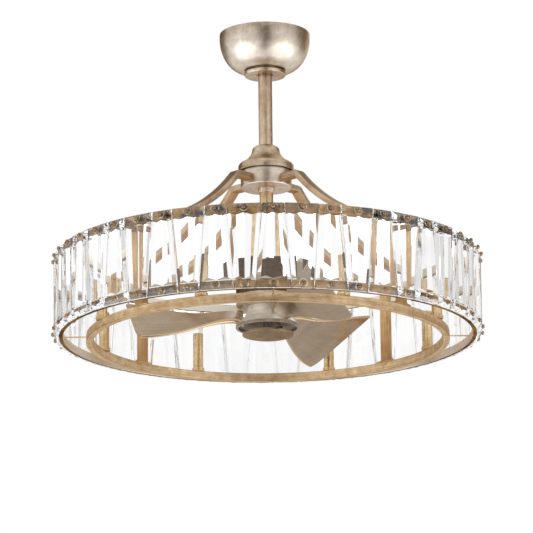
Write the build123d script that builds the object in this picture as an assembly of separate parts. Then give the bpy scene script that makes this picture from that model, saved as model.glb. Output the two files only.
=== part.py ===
from build123d import *
import math
import os

os.makedirs("parts", exist_ok=True)

# Chandelier ceiling fan, millimetres, +Z up
# The origin is the centre of the ceiling plane, and the whole fan hangs below it
# The camera side of the photograph is -Y

# Clearances
fit_gap = 0.05
running_gap = 0.06
bearing_gap = 0.03
cut_overrun = 1.0

# Hanger bracket, fixed to the outlet box
plate_length = 116.0
plate_width = 56.0
plate_thickness = 2.5
plate_corner = 11.0
box_screw_spacing = 88.9
box_slot_length = 12.0
box_slot_width = 5.0
wire_hole_radius = 8.0
seat_wall = 3.0
seat_reach_share = 0.75
leg_width = 16.0
leg_thickness = 2.5
leg_gap = 1.0

# Hanger ball
ball_radius = 28.0
ball_drop = 44.0
ball_top_share = 0.6
ball_bottom_share = 0.79
ball_pin_radius = 3.0
ball_pin_lift_share = 0.28
ball_pin_length_share = 0.84

# Canopy and its screw cover
canopy_radius = 87.5
canopy_depth = 73.5
canopy_rim_height = 8.0
canopy_floor_radius = 40.0
canopy_mouth_radius = 24.0
canopy_wall = 1.2
canopy_screw_radius = 2.5
canopy_screw_head_radius = 4.0
canopy_screw_head_height = 3.0
canopy_screw_length = 10.0
cover_radius = 40.0
cover_height = 6.5
cover_wall = 1.2
cover_edge = 3.0
cover_shadow_gap = 3.2
cover_hole_radius = 17.5
cover_boss_radius = 3.5

# Receiver of the hand control, in the canopy
receiver_length = 72.0
receiver_width = 34.0
receiver_height = 18.0
receiver_corner = 3.0

# Downrod and its coupling
rod_radius = 13.35
rod_wall = 2.9
coupling_radius = 19.0
coupling_height = 40.0
coupling_socket_depth = 30.0
coupling_neck_radius = 15.0
coupling_pin_radius = 3.2
coupling_pin_length = 47.0
coupling_pin_lift_share = 0.62
clip_wire_radius = 0.9
clip_leg = 8.0
clip_spread = 6.4
set_screw_radius = 2.5
set_screw_length = 8.0
set_screw_lift_share = 0.86

# Flared cover over the coupling, a bell with its skirt round the hub plate
bell_radius = 53.6
bell_shoulder_radius = 26.0
bell_height = 47.0
bell_wall = 1.5
bell_lip_radius = 43.0
bell_rod_gap = 0.4
bell_step = 2.2
bell_shoulder_round = 6.0
bell_band_share = 0.86
bell_swell_share = 0.5
# Rows of the flare are the share of its width and of the bell's height
bell_flare_shares = (
    (0.00, 0.13),
    (0.09, 0.33),
    (0.38, 0.54),
    (0.70, 0.70),
)

# Arm hub
hub_radius = 49.0
hub_top_drop = 272.0
hub_height = 37.0
hub_wall = 5.0
hub_floor = 4.0
hub_edge = 3.0
hub_plate_thickness = 4.0
hub_screw_radius = 2.0
hub_screw_length = 14.0
hub_screw_head_radius = 3.6
hub_screw_head_height = 2.4
hub_pillar_radius = 5.0
hub_pillar_circle = 37.0

# Arms, bent from flat bar
arm_count = 4
arm_width = 20.0
arm_thickness = 12.0
arm_stub_drop = 23.0
arm_stub_reach = 82.0
arm_inner_end = 30.0
arm_first_bend = 7.0
arm_steep_angle = 48.5
arm_shallow_angle = 8.0
arm_corner_bend = 14.0
foot_length = 38.0
foot_thickness = 3.0
foot_screw_radius = 2.0
foot_screw_length = 11.0
foot_screw_head_radius = 3.4
foot_screw_head_height = 2.2
arm_bolt_radius = 3.0
arm_bolt_head_radius = 5.0
arm_bolt_head_height = 4.0
arm_bolt_circle = 37.0
arm_bolt_floor = 1.0

# Inner ring, which carries the arms and the lamps
total_drop = 614.0
ring_radius = 339.0
ring_width = 13.0
ring_height = 16.0

# Crystal drum
band_stand_off = 58.0
band_width = 7.5
band_height = 16.0
band_lift = 10.9
crystal_count = 48
crystal_height = 158.0
crystal_thickness = 10.0
crystal_taper = 12.8
crystal_gap = 1.0
crystal_edge_share = 0.45
crystal_bevel = 7.0
crystal_seat_gap = 0.2
crystal_hole_gap = 0.2
crystal_screw_radius = 2.0
crystal_screw_head_radius = 4.2
crystal_screw_head_height = 5.0
crystal_screw_bite = 6.0
ring_rod_radius = 1.5
ring_rod_bite = 3.0
top_rod_radius = 5.0

# Lamp sleeves and lampholders
lamp_count = 8
sleeve_radius = 10.0
sleeve_wall = 0.8
sleeve_height = 76.0
lamp_cup_radius = 12.0
lamp_cup_height = 6.0
lamp_cup_floor = 1.5
holder_radius = 8.8
holder_body_height = 36.0
holder_stem_radius = 5.5
holder_bore_radius = 5.95
holder_bore_depth = 22.0
holder_recess = 2.0
nipple_radius = 3.0
nipple_bite = 8.0

# Stem between the hub and the motor
stem_radius = 13.0
stem_wall = 2.5
stem_thread_length = 17.0
stem_plug_length = 30.0
stem_motor_gap = 3.0
collar_radius = 16.0
collar_height = 9.0
stem_nut_radius = 20.0
stem_nut_height = 8.0

# Motor
motor_radius = 60.0
motor_height = 86.0
motor_top_lift = 156.0
motor_wall = 3.0
motor_end_thickness = 4.0
motor_edge = 5.0
shaft_radius = 8.5
shaft_bore_radius = 5.0
shaft_grip = 26.0
bearing_radius = 17.5
bearing_height = 10.0
bearing_boss_wall = 3.5
shaft_hole_gap = 2.0
retaining_ring_radius = 12.0
retaining_ring_height = 2.5
retaining_ring_depth = 1.0
magnet_thickness = 6.0
magnet_height = 30.0
stator_gap = 1.5
stator_height = 24.0
stator_hub_radius = 22.0
stator_pole_count = 12
stator_pole_width = 9.0
stator_rim_thickness = 4.0
winding_radius = 4.0
winding_spread_share = 0.5

# Blade hub and bottom cap
blade_hub_radius = 61.0
blade_hub_waist_radius = 46.5
blade_hub_top_radius = 39.0
blade_hub_height = 41.0
blade_hub_waist_share = 0.52
blade_hub_rim = 6.0
blade_hub_wall = 5.0
blade_hub_web = 8.0
hub_bolt_circle = 27.0
hub_bolt_radius = 2.5
hub_bolt_length = 11.5
hub_bolt_head_radius = 4.2
hub_bolt_head_height = 3.0
cap_radius = 48.5
cap_gap = 8.5
cap_side = 5.0
cap_dome = 8.0
cap_wall = 1.5
cap_plate_thickness = 3.0
shaft_nut_radius = 11.0
shaft_nut_height = 4.0
shaft_end_gap = 1.0

# Blades
blade_count = 3
blade_start_angle = 58.4
blade_reach = 284.0
blade_tip_low_radius = 246.0
blade_tip_high_radius = 275.0
blade_low_chord = 47.0
blade_high_chord = 79.0
blade_drop = 98.0
blade_low_clear = 3.0
blade_thickness = 5.0
blade_low_corner = 20.0
blade_high_corner = 10.0
blade_screw_radius = 2.0
blade_screw_length = 14.0
blade_screw_head_radius = 3.6
blade_screw_head_height = 2.5
# Rows are radius, low edge across and down, high edge across and down, thickness
blade_shares = (
    (0.163, 0.20, 0.70, 0.16, 0.38, 3.0),
    (0.219, 0.28, 0.63, 0.22, 0.35, 2.5),
    (0.326, 0.42, 0.66, 0.34, 0.34, 1.7),
    (0.448, 0.60, 0.76, 0.46, 0.34, 1.2),
    (0.582, 0.76, 0.88, 0.62, 0.28, 1.0),
    (0.724, 0.88, 0.96, 0.79, 0.18, 1.0),
    (0.877, 0.93, 0.99, 0.91, 0.07, 1.0),
    (1.000, 0.93, 1.00, 1.00, 0.00, 1.0),
)

# Heights that follow from the sizes above
ball_z = -ball_drop
canopy_floor_z = -canopy_depth
hub_top_z = -hub_top_drop
hub_plate_z = hub_top_z - hub_plate_thickness
hub_floor_z = hub_top_z - hub_height
stub_z = hub_top_z - arm_stub_drop
ring_bottom_z = -total_drop
band_radius = ring_radius + band_stand_off
ring_top_z = ring_bottom_z + ring_height
band_bottom_z = ring_bottom_z + band_lift
crystal_top_z = band_bottom_z + crystal_height
top_band_z = crystal_top_z - band_height
lower_screw_z = band_bottom_z + band_height / 2
upper_screw_z = top_band_z + band_height / 2
motor_top_z = ring_bottom_z + motor_top_lift
motor_bottom_z = motor_top_z - motor_height
motor_mid_z = (motor_top_z + motor_bottom_z) / 2
blade_hub_bottom_z = motor_bottom_z - blade_hub_height
cap_top_z = blade_hub_bottom_z - cap_gap
rod_top_z = ball_z + ball_radius * ball_top_share
rod_bottom_z = hub_top_z + coupling_height - coupling_socket_depth
arm_angles = [45 + 360 / arm_count * k for k in range(arm_count)]
quarter_angles = [90 * k for k in range(4)]
lamp_angles = [180 / lamp_count + 360 / lamp_count * k for k in range(lamp_count)]
crystal_pitch = 360 / crystal_count
crystal_angles = [crystal_pitch * k for k in range(crystal_count)]
blade_angles = [blade_start_angle + 360 / blade_count * k for k in range(blade_count)]
sides = (-1, 1)


def post(radius, bottom, top):
    return Pos(0, 0, bottom) * extrude(Circle(radius), amount=top - bottom)


def tube(outer, inner, bottom, top):
    return Pos(0, 0, bottom) * extrude(Circle(outer) - Circle(inner), amount=top - bottom)


def block(length, width, bottom, top, x=0, y=0):
    return Pos(x, y, bottom) * extrude(Rectangle(length, width), amount=top - bottom)


def turned(edges):
    return revolve(Plane.XZ * make_face(edges), axis=Axis.Z)


def bar_along_x(radius, start, end, y, z):
    return Pos(start, y, z) * Rot(0, 90, 0) * extrude(Circle(radius), amount=end - start)


def bar_along_y(radius, start, end, x, z):
    return Pos(x, end, z) * Rot(90, 0, 0) * extrude(Circle(radius), amount=end - start)


def hexagon(across_radius, inner, bottom, top):
    outline = RegularPolygon(across_radius, 6) - Circle(inner)
    return Pos(0, 0, bottom) * extrude(outline, amount=top - bottom)


def turn(shape, angle):
    return Rot(0, 0, angle) * shape


def ring_of(shape, angles):
    return [turn(shape, angle) for angle in angles]


def without(shape, cutters):
    for cutter in cutters:
        shape = shape - cutter
    return shape


def save(name, *shapes):
    solids = [solid for shape in shapes for solid in shape.solids()]
    whole = solids[0] if len(solids) == 1 else Compound(children=solids)
    export_step(whole, "parts/" + name + ".step")
    print(name, len(solids), round(sum(solid.volume for solid in solids), 1))


# Hanger bracket: ceiling plate, two legs and the cup that the ball swings in
canopy_inner_floor_z = canopy_floor_z + canopy_wall
canopy_screw_x = cover_radius - cover_wall - canopy_screw_head_radius - canopy_wall
leg_x = canopy_screw_x + canopy_screw_radius + leg_gap
wire_hole_y = plate_width / 2 - wire_hole_radius - plate_thickness


def hanger_bracket():
    plate = Rectangle(plate_length, plate_width)
    plate = fillet(plate.vertices(), plate_corner)
    for side in sides:
        slot = SlotOverall(box_slot_length, box_slot_width)
        plate -= Pos(side * box_screw_spacing / 2, 0) * slot
    plate -= Pos(0, wire_hole_y) * Circle(wire_hole_radius)
    bracket = Pos(0, 0, -plate_thickness) * extrude(plate, amount=plate_thickness)
    cup_radius = ball_radius + running_gap
    cup = Sphere(cup_radius + seat_wall) - Sphere(cup_radius)
    cup_bottom = -ball_radius * seat_reach_share
    cup_top = -leg_thickness
    flange_bottom = cup_top - leg_thickness
    cup &= tube(cup_radius + seat_wall, rod_radius, cup_bottom, cup_top)
    flange = tube(leg_x, cup_radius + seat_wall / 2, flange_bottom, cup_top)
    bracket += Pos(0, 0, ball_z) * (cup + flange)
    foot_top = canopy_inner_floor_z + leg_thickness
    foot_length_x = leg_x + leg_thickness - canopy_screw_x + canopy_screw_head_radius
    foot_x = leg_x + leg_thickness - foot_length_x / 2
    for side in sides:
        leg_at = side * (leg_x + leg_thickness / 2)
        bracket += block(leg_thickness, leg_width, canopy_inner_floor_z, -plate_thickness, x=leg_at)
        bracket += block(leg_thickness, leg_width, ball_z + flange_bottom, ball_z + cup_top,
                         x=side * (leg_x - leg_thickness / 2))
        foot = block(foot_length_x, leg_width, canopy_inner_floor_z, foot_top, x=side * foot_x)
        hole = post(canopy_screw_radius + fit_gap, canopy_inner_floor_z, foot_top)
        bracket += foot
        bracket -= Pos(side * canopy_screw_x, 0) * hole
    return bracket


def canopy():
    def bowl(inset):
        rim = canopy_radius - inset
        floor_z = canopy_floor_z + inset
        height = -canopy_rim_height - floor_z
        curve = EllipticalCenterArc((canopy_floor_radius, -canopy_rim_height),
                                    rim - canopy_floor_radius, height, start_angle=270, arc_size=90)
        return turned([Line((0, 0), (0, floor_z)), Line((0, floor_z), (canopy_floor_radius, floor_z)), curve,
                       Line((rim, -canopy_rim_height), (rim, 0)), Line((rim, 0), (0, 0))])
    shell = bowl(0) - bowl(canopy_wall)
    shell -= post(canopy_mouth_radius, canopy_floor_z, canopy_inner_floor_z)
    for side in sides:
        hole = post(canopy_screw_radius + fit_gap, canopy_floor_z, canopy_inner_floor_z)
        shell -= Pos(side * canopy_screw_x, 0) * hole
    return shell


screw_head_z = canopy_floor_z - canopy_screw_head_height
cover_top_z = canopy_floor_z - cover_shadow_gap
cover_bottom_z = cover_top_z - cover_height


def canopy_screws():
    screw = post(canopy_screw_radius, screw_head_z, canopy_floor_z + canopy_screw_length)
    screw += post(canopy_screw_head_radius, screw_head_z, canopy_floor_z)
    return [Pos(side * canopy_screw_x, 0) * screw for side in sides]


def canopy_screw_cover():
    floor_top = cover_bottom_z + cover_wall
    cover = tube(cover_radius, cover_radius - cover_wall, floor_top, cover_top_z)
    cover += tube(cover_radius, cover_hole_radius, cover_bottom_z, floor_top)
    rim = cover.edges().filter_by(GeomType.CIRCLE).sort_by(Axis.Z)[:2].sort_by(SortBy.RADIUS)[-1]
    cover = fillet(rim, cover_edge)
    for side in sides:
        cover += Pos(side * canopy_screw_x, 0) * post(cover_boss_radius, floor_top, screw_head_z)
    return cover


def receiver():
    y = wire_hole_y - wire_hole_radius - receiver_width / 2 - plate_thickness
    case = Rectangle(receiver_length, receiver_width)
    case = fillet(case.vertices(), receiver_corner)
    case = extrude(case, amount=receiver_height)
    return Pos(0, y, -plate_thickness - receiver_height) * case


# Hanger ball with its cross pin and set screw
def hanger_ball():
    top = ball_radius * ball_top_share
    bottom = -ball_radius * ball_bottom_share
    ball = Sphere(ball_radius) & post(ball_radius, bottom, top)
    ball -= post(rod_radius + fit_gap, bottom, top)
    pin_z = ball_radius * ball_pin_lift_share
    ball -= bar_along_x(ball_pin_radius + fit_gap, -ball_radius, ball_radius, 0, pin_z)
    ball -= bar_along_y(set_screw_radius + fit_gap, -ball_radius, 0, 0, pin_z)
    return Pos(0, 0, ball_z) * ball


def ball_pin():
    half = ball_radius * ball_pin_length_share
    return bar_along_x(ball_pin_radius, -half, half, 0, ball_z + ball_radius * ball_pin_lift_share)


def downrod():
    tube_wall = tube(rod_radius, rod_radius - rod_wall, rod_bottom_z, rod_top_z)
    pin_z = ball_z + ball_radius * ball_pin_lift_share
    tube_wall -= bar_along_x(ball_pin_radius + fit_gap, -ball_radius, ball_radius, 0, pin_z)
    tube_wall -= bar_along_x(coupling_pin_radius + fit_gap, -ball_radius, ball_radius, 0, coupling_pin_z)
    return tube_wall


# Coupling that pins the downrod to the hub
coupling_top_z = hub_top_z + coupling_height
coupling_pin_z = hub_top_z + coupling_height * coupling_pin_lift_share
coupling_screw_z = hub_top_z + coupling_height * set_screw_lift_share
wire_way_radius = rod_radius - rod_wall


def rod_coupling():
    body = tube(coupling_radius, wire_way_radius, hub_top_z, coupling_top_z)
    body -= post(rod_radius + fit_gap, rod_bottom_z, coupling_top_z)
    body += tube(coupling_neck_radius, wire_way_radius, hub_plate_z, hub_top_z)
    body -= bar_along_x(coupling_pin_radius + fit_gap, -coupling_radius, coupling_radius, 0, coupling_pin_z)
    for side in sides:
        hole = bar_along_y(set_screw_radius + fit_gap, 0, coupling_radius, 0, coupling_screw_z)
        body -= turn(hole, 90 + side * 90)
    return body


clip_x = coupling_radius + clip_wire_radius + cut_overrun


def coupling_pin():
    half = coupling_pin_length / 2
    pin = bar_along_x(coupling_pin_radius, -half, half, 0, coupling_pin_z)
    hole_length = coupling_pin_radius + cut_overrun
    return pin - bar_along_y(clip_wire_radius + fit_gap, -hole_length, hole_length, clip_x, coupling_pin_z)


def coupling_pin_clip():
    low = coupling_pin_z - clip_spread
    first = Line((clip_x, -clip_leg, coupling_pin_z), (clip_x, clip_leg, coupling_pin_z))
    loop_end = clip_leg + clip_spread / 2
    loop = ThreePointArc(first @ 1, (clip_x, loop_end, (coupling_pin_z + low) / 2), (clip_x, clip_leg, low))
    last = Line(loop @ 1, (clip_x, -clip_leg, low))
    path = first + loop + last
    section = Plane(origin=first @ 0, z_dir=first % 0) * Circle(clip_wire_radius)
    return sweep(section, path=path)


def set_screws():
    end = rod_radius + fit_gap
    screw = bar_along_y(set_screw_radius, end, end + set_screw_length, 0, coupling_screw_z)
    ball_screw = bar_along_y(set_screw_radius, -end - set_screw_length, -end, 0,
                             ball_z + ball_radius * ball_pin_lift_share)
    return [screw, turn(screw, 180), ball_screw]


def coupling_cover():
    top = hub_top_z + bell_height

    def bell(inset):
        flare = bell_radius - bell_step - bell_shoulder_radius
        points = [(bell_shoulder_radius + flare * across - inset, top - bell_height * down - inset)
                  for across, down in bell_flare_shares]
        crown_z = top - inset
        crown = (bell_shoulder_radius - bell_shoulder_round - inset, crown_z)
        step_in = points[-1]
        step_out = (step_in[0] + bell_step, step_in[1])
        band_top = (bell_radius - inset, top - bell_height * bell_band_share - inset)
        swell = bell_step * bell_swell_share
        belly = ((step_out[0] + band_top[0] + swell) / 2, (step_out[1] + band_top[1] + swell) / 2)
        foot = (band_top[0], hub_plate_z)
        shoulder = TangentArc(crown, points[0], tangent=(1, 0))
        return turned([Line((0, crown_z), crown), shoulder, Spline(points), Line(step_in, step_out),
                       ThreePointArc(step_out, belly, band_top), Line(band_top, foot),
                       Line(foot, (0, hub_plate_z)), Line((0, hub_plate_z), (0, crown_z))])

    shell = bell(0) - bell(bell_wall)
    shell -= post(rod_radius + bell_rod_gap, top - bell_wall, top)
    shell += tube(bell_radius - bell_wall / 2, bell_lip_radius, hub_top_z, hub_top_z + bell_wall)
    return shell


# Arm hub with its top plate
stub_top_z = stub_z + arm_thickness / 2
stub_bottom_z = stub_z - arm_thickness / 2
arm_bolt_tip_z = hub_floor_z + arm_bolt_floor


def arm_hub():
    hub = post(hub_radius, hub_floor_z, hub_plate_z)
    hub = fillet(hub.edges().filter_by(GeomType.CIRCLE).sort_by(Axis.Z)[0], hub_edge)
    floor_top = hub_floor_z + hub_floor
    hub -= post(hub_radius - hub_wall, floor_top, hub_plate_z)
    hub -= post(stem_radius + fit_gap, hub_floor_z, floor_top)
    pillar = post(hub_pillar_radius, floor_top, hub_plate_z)
    pillar -= post(hub_screw_radius + fit_gap, hub_plate_z - hub_screw_length, hub_plate_z)
    for angle in quarter_angles:
        hub += turn(Pos(hub_pillar_circle, 0) * pillar, angle)
    boss_length = hub_radius - hub_wall / 2 - arm_inner_end
    boss = block(boss_length, arm_width, floor_top, stub_bottom_z, x=arm_inner_end + boss_length / 2)
    slot_length = hub_radius + cut_overrun - arm_inner_end
    slot = block(slot_length, arm_width + 2 * fit_gap, stub_bottom_z, stub_top_z + fit_gap,
                 x=arm_inner_end + slot_length / 2)
    bolt_hole = post(arm_bolt_radius + fit_gap, arm_bolt_tip_z, stub_bottom_z)
    for angle in arm_angles:
        hub += turn(boss, angle)
        hub -= turn(slot, angle)
        hub -= turn(Pos(arm_bolt_circle, 0) * bolt_hole, angle)
    return hub


def hub_plate():
    plate = tube(hub_radius, coupling_neck_radius + fit_gap, hub_plate_z, hub_top_z)
    hole = Pos(hub_pillar_circle, 0) * post(hub_screw_radius + fit_gap, hub_plate_z, hub_top_z)
    return without(plate, ring_of(hole, quarter_angles))


def hub_screws():
    screw = post(hub_screw_radius, hub_top_z - hub_screw_length, hub_top_z)
    screw += post(hub_screw_head_radius, hub_top_z, hub_top_z + hub_screw_head_height)
    return ring_of(Pos(hub_pillar_circle, 0) * screw, quarter_angles)


# Arms: a short stub, a long hollow sweep down to the drum, and a leg to the inner ring
leg_face_radius = ring_radius + arm_thickness / 2
foot_top_z = ring_top_z + foot_thickness
foot_screw_y = (foot_length + arm_width) / 4


def arm_path():
    steep = math.radians(arm_steep_angle)
    shallow = math.radians(arm_shallow_angle)
    x1 = arm_stub_reach
    x2 = x1 + arm_first_bend * math.sin(steep)
    z2 = stub_z - arm_first_bend * (1 - math.cos(steep))
    x4 = ring_radius
    x3 = x4 - arm_corner_bend * (1 - math.sin(shallow))
    sweep_radius = (x3 - x2) / (math.sin(steep) - math.sin(shallow))
    z3 = z2 - sweep_radius * (math.cos(shallow) - math.cos(steep))
    z4 = z3 - arm_corner_bend * math.cos(shallow)
    stub = Line((arm_inner_end, stub_z), (x1, stub_z))
    first = TangentArc((x1, stub_z), (x2, z2), tangent=(1, 0))
    sweep_arc = TangentArc((x2, z2), (x3, z3), tangent=(math.cos(steep), -math.sin(steep)))
    corner = TangentArc((x3, z3), (x4, z4), tangent=(math.cos(shallow), -math.sin(shallow)))
    leg = Line((x4, z4), (x4, foot_top_z - foot_thickness / 2))
    return stub, first, sweep_arc, corner, leg


def arm():
    edges = arm_path()
    path = Plane.XZ * Wire(edges)
    section = Plane(origin=(arm_inner_end, 0, stub_z), x_dir=(0, 1, 0), z_dir=(1, 0, 0))
    bar = sweep(section * Rectangle(arm_width, arm_thickness), path=path)
    foot = block(ring_width, foot_length, ring_top_z, foot_top_z, x=ring_radius)
    bar += foot
    bar -= Pos(arm_bolt_circle, 0) * post(arm_bolt_radius + fit_gap, stub_bottom_z, stub_top_z)
    for side in sides:
        hole = post(foot_screw_radius + fit_gap, ring_top_z, foot_top_z)
        bar -= Pos(ring_radius, side * foot_screw_y) * hole
    return bar


def arm_bolts():
    bolt = post(arm_bolt_radius, arm_bolt_tip_z, stub_top_z)
    bolt += post(arm_bolt_head_radius, stub_top_z, stub_top_z + arm_bolt_head_height)
    return ring_of(Pos(arm_bolt_circle, 0) * bolt, arm_angles)


def foot_screws():
    screw = post(foot_screw_radius, foot_top_z - foot_screw_length, foot_top_z)
    screw += post(foot_screw_head_radius, foot_top_z, foot_top_z + foot_screw_head_height)
    pairs = [Pos(ring_radius, side * foot_screw_y) * screw for side in sides]
    return [turn(item, angle) for angle in arm_angles for item in pairs]


# Inner ring, bands and the rods between them
ring_outer = ring_radius + ring_width / 2
ring_inner = ring_radius - ring_width / 2
band_inner = band_radius - band_width
ring_rod_z = (ring_top_z + band_bottom_z) / 2


def inner_ring():
    ring = tube(ring_outer, ring_inner, ring_bottom_z, ring_top_z)
    screw_hole = post(foot_screw_radius + fit_gap, foot_top_z - foot_screw_length, ring_top_z)
    holes = [turn(Pos(ring_radius, side * foot_screw_y) * screw_hole, angle)
             for angle in arm_angles for side in sides]
    nipple_hole = post(nipple_radius + fit_gap, ring_top_z - nipple_bite, ring_top_z)
    holes += ring_of(Pos(ring_radius, 0) * nipple_hole, lamp_angles)
    rod_hole = bar_along_x(ring_rod_radius + fit_gap, ring_outer - ring_rod_bite, ring_outer + cut_overrun,
                           0, ring_rod_z)
    holes += ring_of(rod_hole, quarter_angles)
    return ring.cut(*holes)


def band(bottom, screw_z, rod_hole=None):
    ring = tube(band_radius, band_inner, bottom, bottom + band_height)
    hole = bar_along_x(crystal_screw_radius + fit_gap, band_radius - crystal_screw_bite,
                       band_radius + cut_overrun, 0, screw_z)
    holes = ring_of(hole, crystal_angles)
    if rod_hole:
        holes += ring_of(rod_hole, quarter_angles)
    return ring.cut(*holes)


def lower_band():
    rod_hole = bar_along_x(ring_rod_radius + fit_gap, band_inner - cut_overrun, band_inner + ring_rod_bite,
                           0, ring_rod_z)
    return band(band_bottom_z, lower_screw_z, rod_hole)


def upper_band():
    return band(top_band_z, upper_screw_z)


def ring_rods():
    bar = bar_along_x(ring_rod_radius, ring_outer - ring_rod_bite, band_inner + ring_rod_bite, 0, ring_rod_z)
    return ring_of(bar, quarter_angles)


def top_rods():
    bar = bar_along_x(top_rod_radius, leg_face_radius, band_inner + cut_overrun, 0, upper_screw_z)
    bar -= tube(band_radius, band_inner, top_band_z, crystal_top_z)
    return ring_of(bar, arm_angles)


# Crystals: tapered slabs with bevelled fronts, every other one upside down
crystal_face_radius = band_radius + crystal_seat_gap
crystal_mean_width = 2 * crystal_face_radius * math.tan(math.radians(crystal_pitch / 2)) - crystal_gap
crystal_shift = 0 if (crystal_count // 4) % 2 else crystal_pitch


def crystal(wide_top):
    wide = (crystal_mean_width + crystal_taper) / 2
    narrow = (crystal_mean_width - crystal_taper) / 2
    top = wide if wide_top else narrow
    bottom = narrow if wide_top else wide

    def outline(inset):
        low = band_bottom_z + inset
        high = crystal_top_z - inset
        return Polygon((-bottom + inset, low), (bottom - inset, low), (top - inset, high),
                       (-top + inset, high), align=None)

    edge = crystal_thickness * crystal_edge_share
    face = Plane(origin=(crystal_face_radius, 0, 0), x_dir=(0, 1, 0), z_dir=(1, 0, 0))
    slab = extrude(face * outline(0), amount=edge)
    front = face.offset(crystal_thickness) * outline(crystal_bevel)
    slab += loft([face.offset(edge) * outline(0), front], ruled=True)
    for z in (lower_screw_z, upper_screw_z):
        slab -= bar_along_x(crystal_screw_radius + crystal_hole_gap, crystal_face_radius,
                            crystal_face_radius + crystal_thickness, 0, z)
    return slab


def crystals(wide_top):
    first = 0 if wide_top else 1
    return ring_of(crystal(wide_top), [angle + crystal_shift for angle in crystal_angles[first::2]])


def crystal_screws(z):
    start = band_radius - crystal_screw_bite
    seat = crystal_face_radius + crystal_thickness
    screw = bar_along_x(crystal_screw_radius, start, seat, 0, z)
    screw += bar_along_x(crystal_screw_head_radius, seat, seat + crystal_screw_head_height, 0, z)
    return ring_of(screw, crystal_angles)


# Lamps: cup, sleeve and lampholder on a threaded nipple
cup_floor_z = ring_top_z + lamp_cup_floor
sleeve_top_z = ring_top_z + sleeve_height
holder_top_z = sleeve_top_z - holder_recess


def lamp_cups():
    cup = tube(lamp_cup_radius, sleeve_radius + fit_gap, cup_floor_z, ring_top_z + lamp_cup_height)
    cup += tube(lamp_cup_radius, nipple_radius + fit_gap, ring_top_z, cup_floor_z)
    return ring_of(Pos(ring_radius, 0) * cup, lamp_angles)


def lamp_sleeves():
    sleeve = tube(sleeve_radius, sleeve_radius - sleeve_wall, cup_floor_z, sleeve_top_z)
    return ring_of(Pos(ring_radius, 0) * sleeve, lamp_angles)


def lampholders():
    body_z = holder_top_z - holder_body_height
    holder = post(holder_radius, body_z, holder_top_z)
    holder += post(holder_stem_radius, cup_floor_z, body_z)
    holder -= post(holder_bore_radius, holder_top_z - holder_bore_depth, holder_top_z)
    holder -= post(nipple_radius + fit_gap, cup_floor_z, cup_floor_z + nipple_bite)
    return ring_of(Pos(ring_radius, 0) * holder, lamp_angles)


def lamp_nipples():
    nipple = post(nipple_radius, ring_top_z - nipple_bite, cup_floor_z + nipple_bite)
    return ring_of(Pos(ring_radius, 0) * nipple, lamp_angles)


# Stem from the hub to the motor shaft
hub_inner_floor_z = hub_floor_z + hub_floor
stem_bottom_z = motor_top_z + stem_motor_gap


def motor_stem():
    stem = tube(stem_radius, stem_radius - stem_wall, stem_bottom_z, hub_floor_z + stem_thread_length)
    plug_top = stem_bottom_z + stem_plug_length
    return stem + tube(stem_radius - stem_wall / 2, shaft_radius + fit_gap, stem_bottom_z, plug_top)


def stem_nut():
    top = hub_inner_floor_z + stem_nut_height
    return hexagon(stem_nut_radius, stem_radius + fit_gap, hub_inner_floor_z, top)


def stem_collar():
    return tube(collar_radius, stem_radius + fit_gap, hub_floor_z - collar_height, hub_floor_z)


# Motor: fixed shaft and stator inside a turning shell
bearing_top_z = motor_top_z - motor_end_thickness
lower_bearing_z = motor_bottom_z + motor_end_thickness
upper_ring_z = bearing_top_z - bearing_height - retaining_ring_height - fit_gap
cap_plate_z = cap_top_z - cap_plate_thickness
shaft_nut_z = cap_plate_z - shaft_nut_height
shaft_bottom_z = shaft_nut_z - shaft_end_gap
groove_radius = shaft_radius - retaining_ring_depth
ring_levels = (upper_ring_z, lower_bearing_z + bearing_height + fit_gap)


def motor_shaft():
    shaft = tube(shaft_radius, shaft_bore_radius, shaft_bottom_z, stem_bottom_z + shaft_grip)
    for level in ring_levels:
        shaft -= tube(shaft_radius + cut_overrun, groove_radius, level, level + retaining_ring_height)
    return shaft


def retaining_rings():
    return [tube(retaining_ring_radius, groove_radius + fit_gap, level, level + retaining_ring_height)
            for level in ring_levels]


magnet_inner = motor_radius - motor_wall - fit_gap - magnet_thickness
stator_radius = magnet_inner - stator_gap


def stator_core():
    low = motor_mid_z - stator_height / 2
    pole_start = stator_hub_radius - stator_rim_thickness
    pole_end = stator_radius - stator_rim_thickness / 2
    pole = Pos((pole_start + pole_end) / 2, 0) * Rectangle(pole_end - pole_start, stator_pole_width)
    slot = Pos(stator_radius, 0) * Rectangle(2 * stator_rim_thickness + 2 * cut_overrun, stator_gap)
    step = 360 / stator_pole_count
    outline = Circle(stator_radius) - Circle(stator_radius - stator_rim_thickness)
    for k in range(stator_pole_count):
        outline -= Rot(0, 0, step * k + step / 2) * slot
    outline += Circle(stator_hub_radius) - Circle(shaft_radius + fit_gap)
    for k in range(stator_pole_count):
        outline += Rot(0, 0, step * k) * pole
    return Pos(0, 0, low) * extrude(outline, amount=stator_height)


def stator_windings():
    room = stator_radius - stator_rim_thickness - stator_hub_radius
    coil = Torus(stator_hub_radius + room * winding_spread_share, winding_radius)
    lift = stator_height / 2 + winding_radius
    return [Pos(0, 0, motor_mid_z + side * lift) * coil for side in sides]


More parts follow.
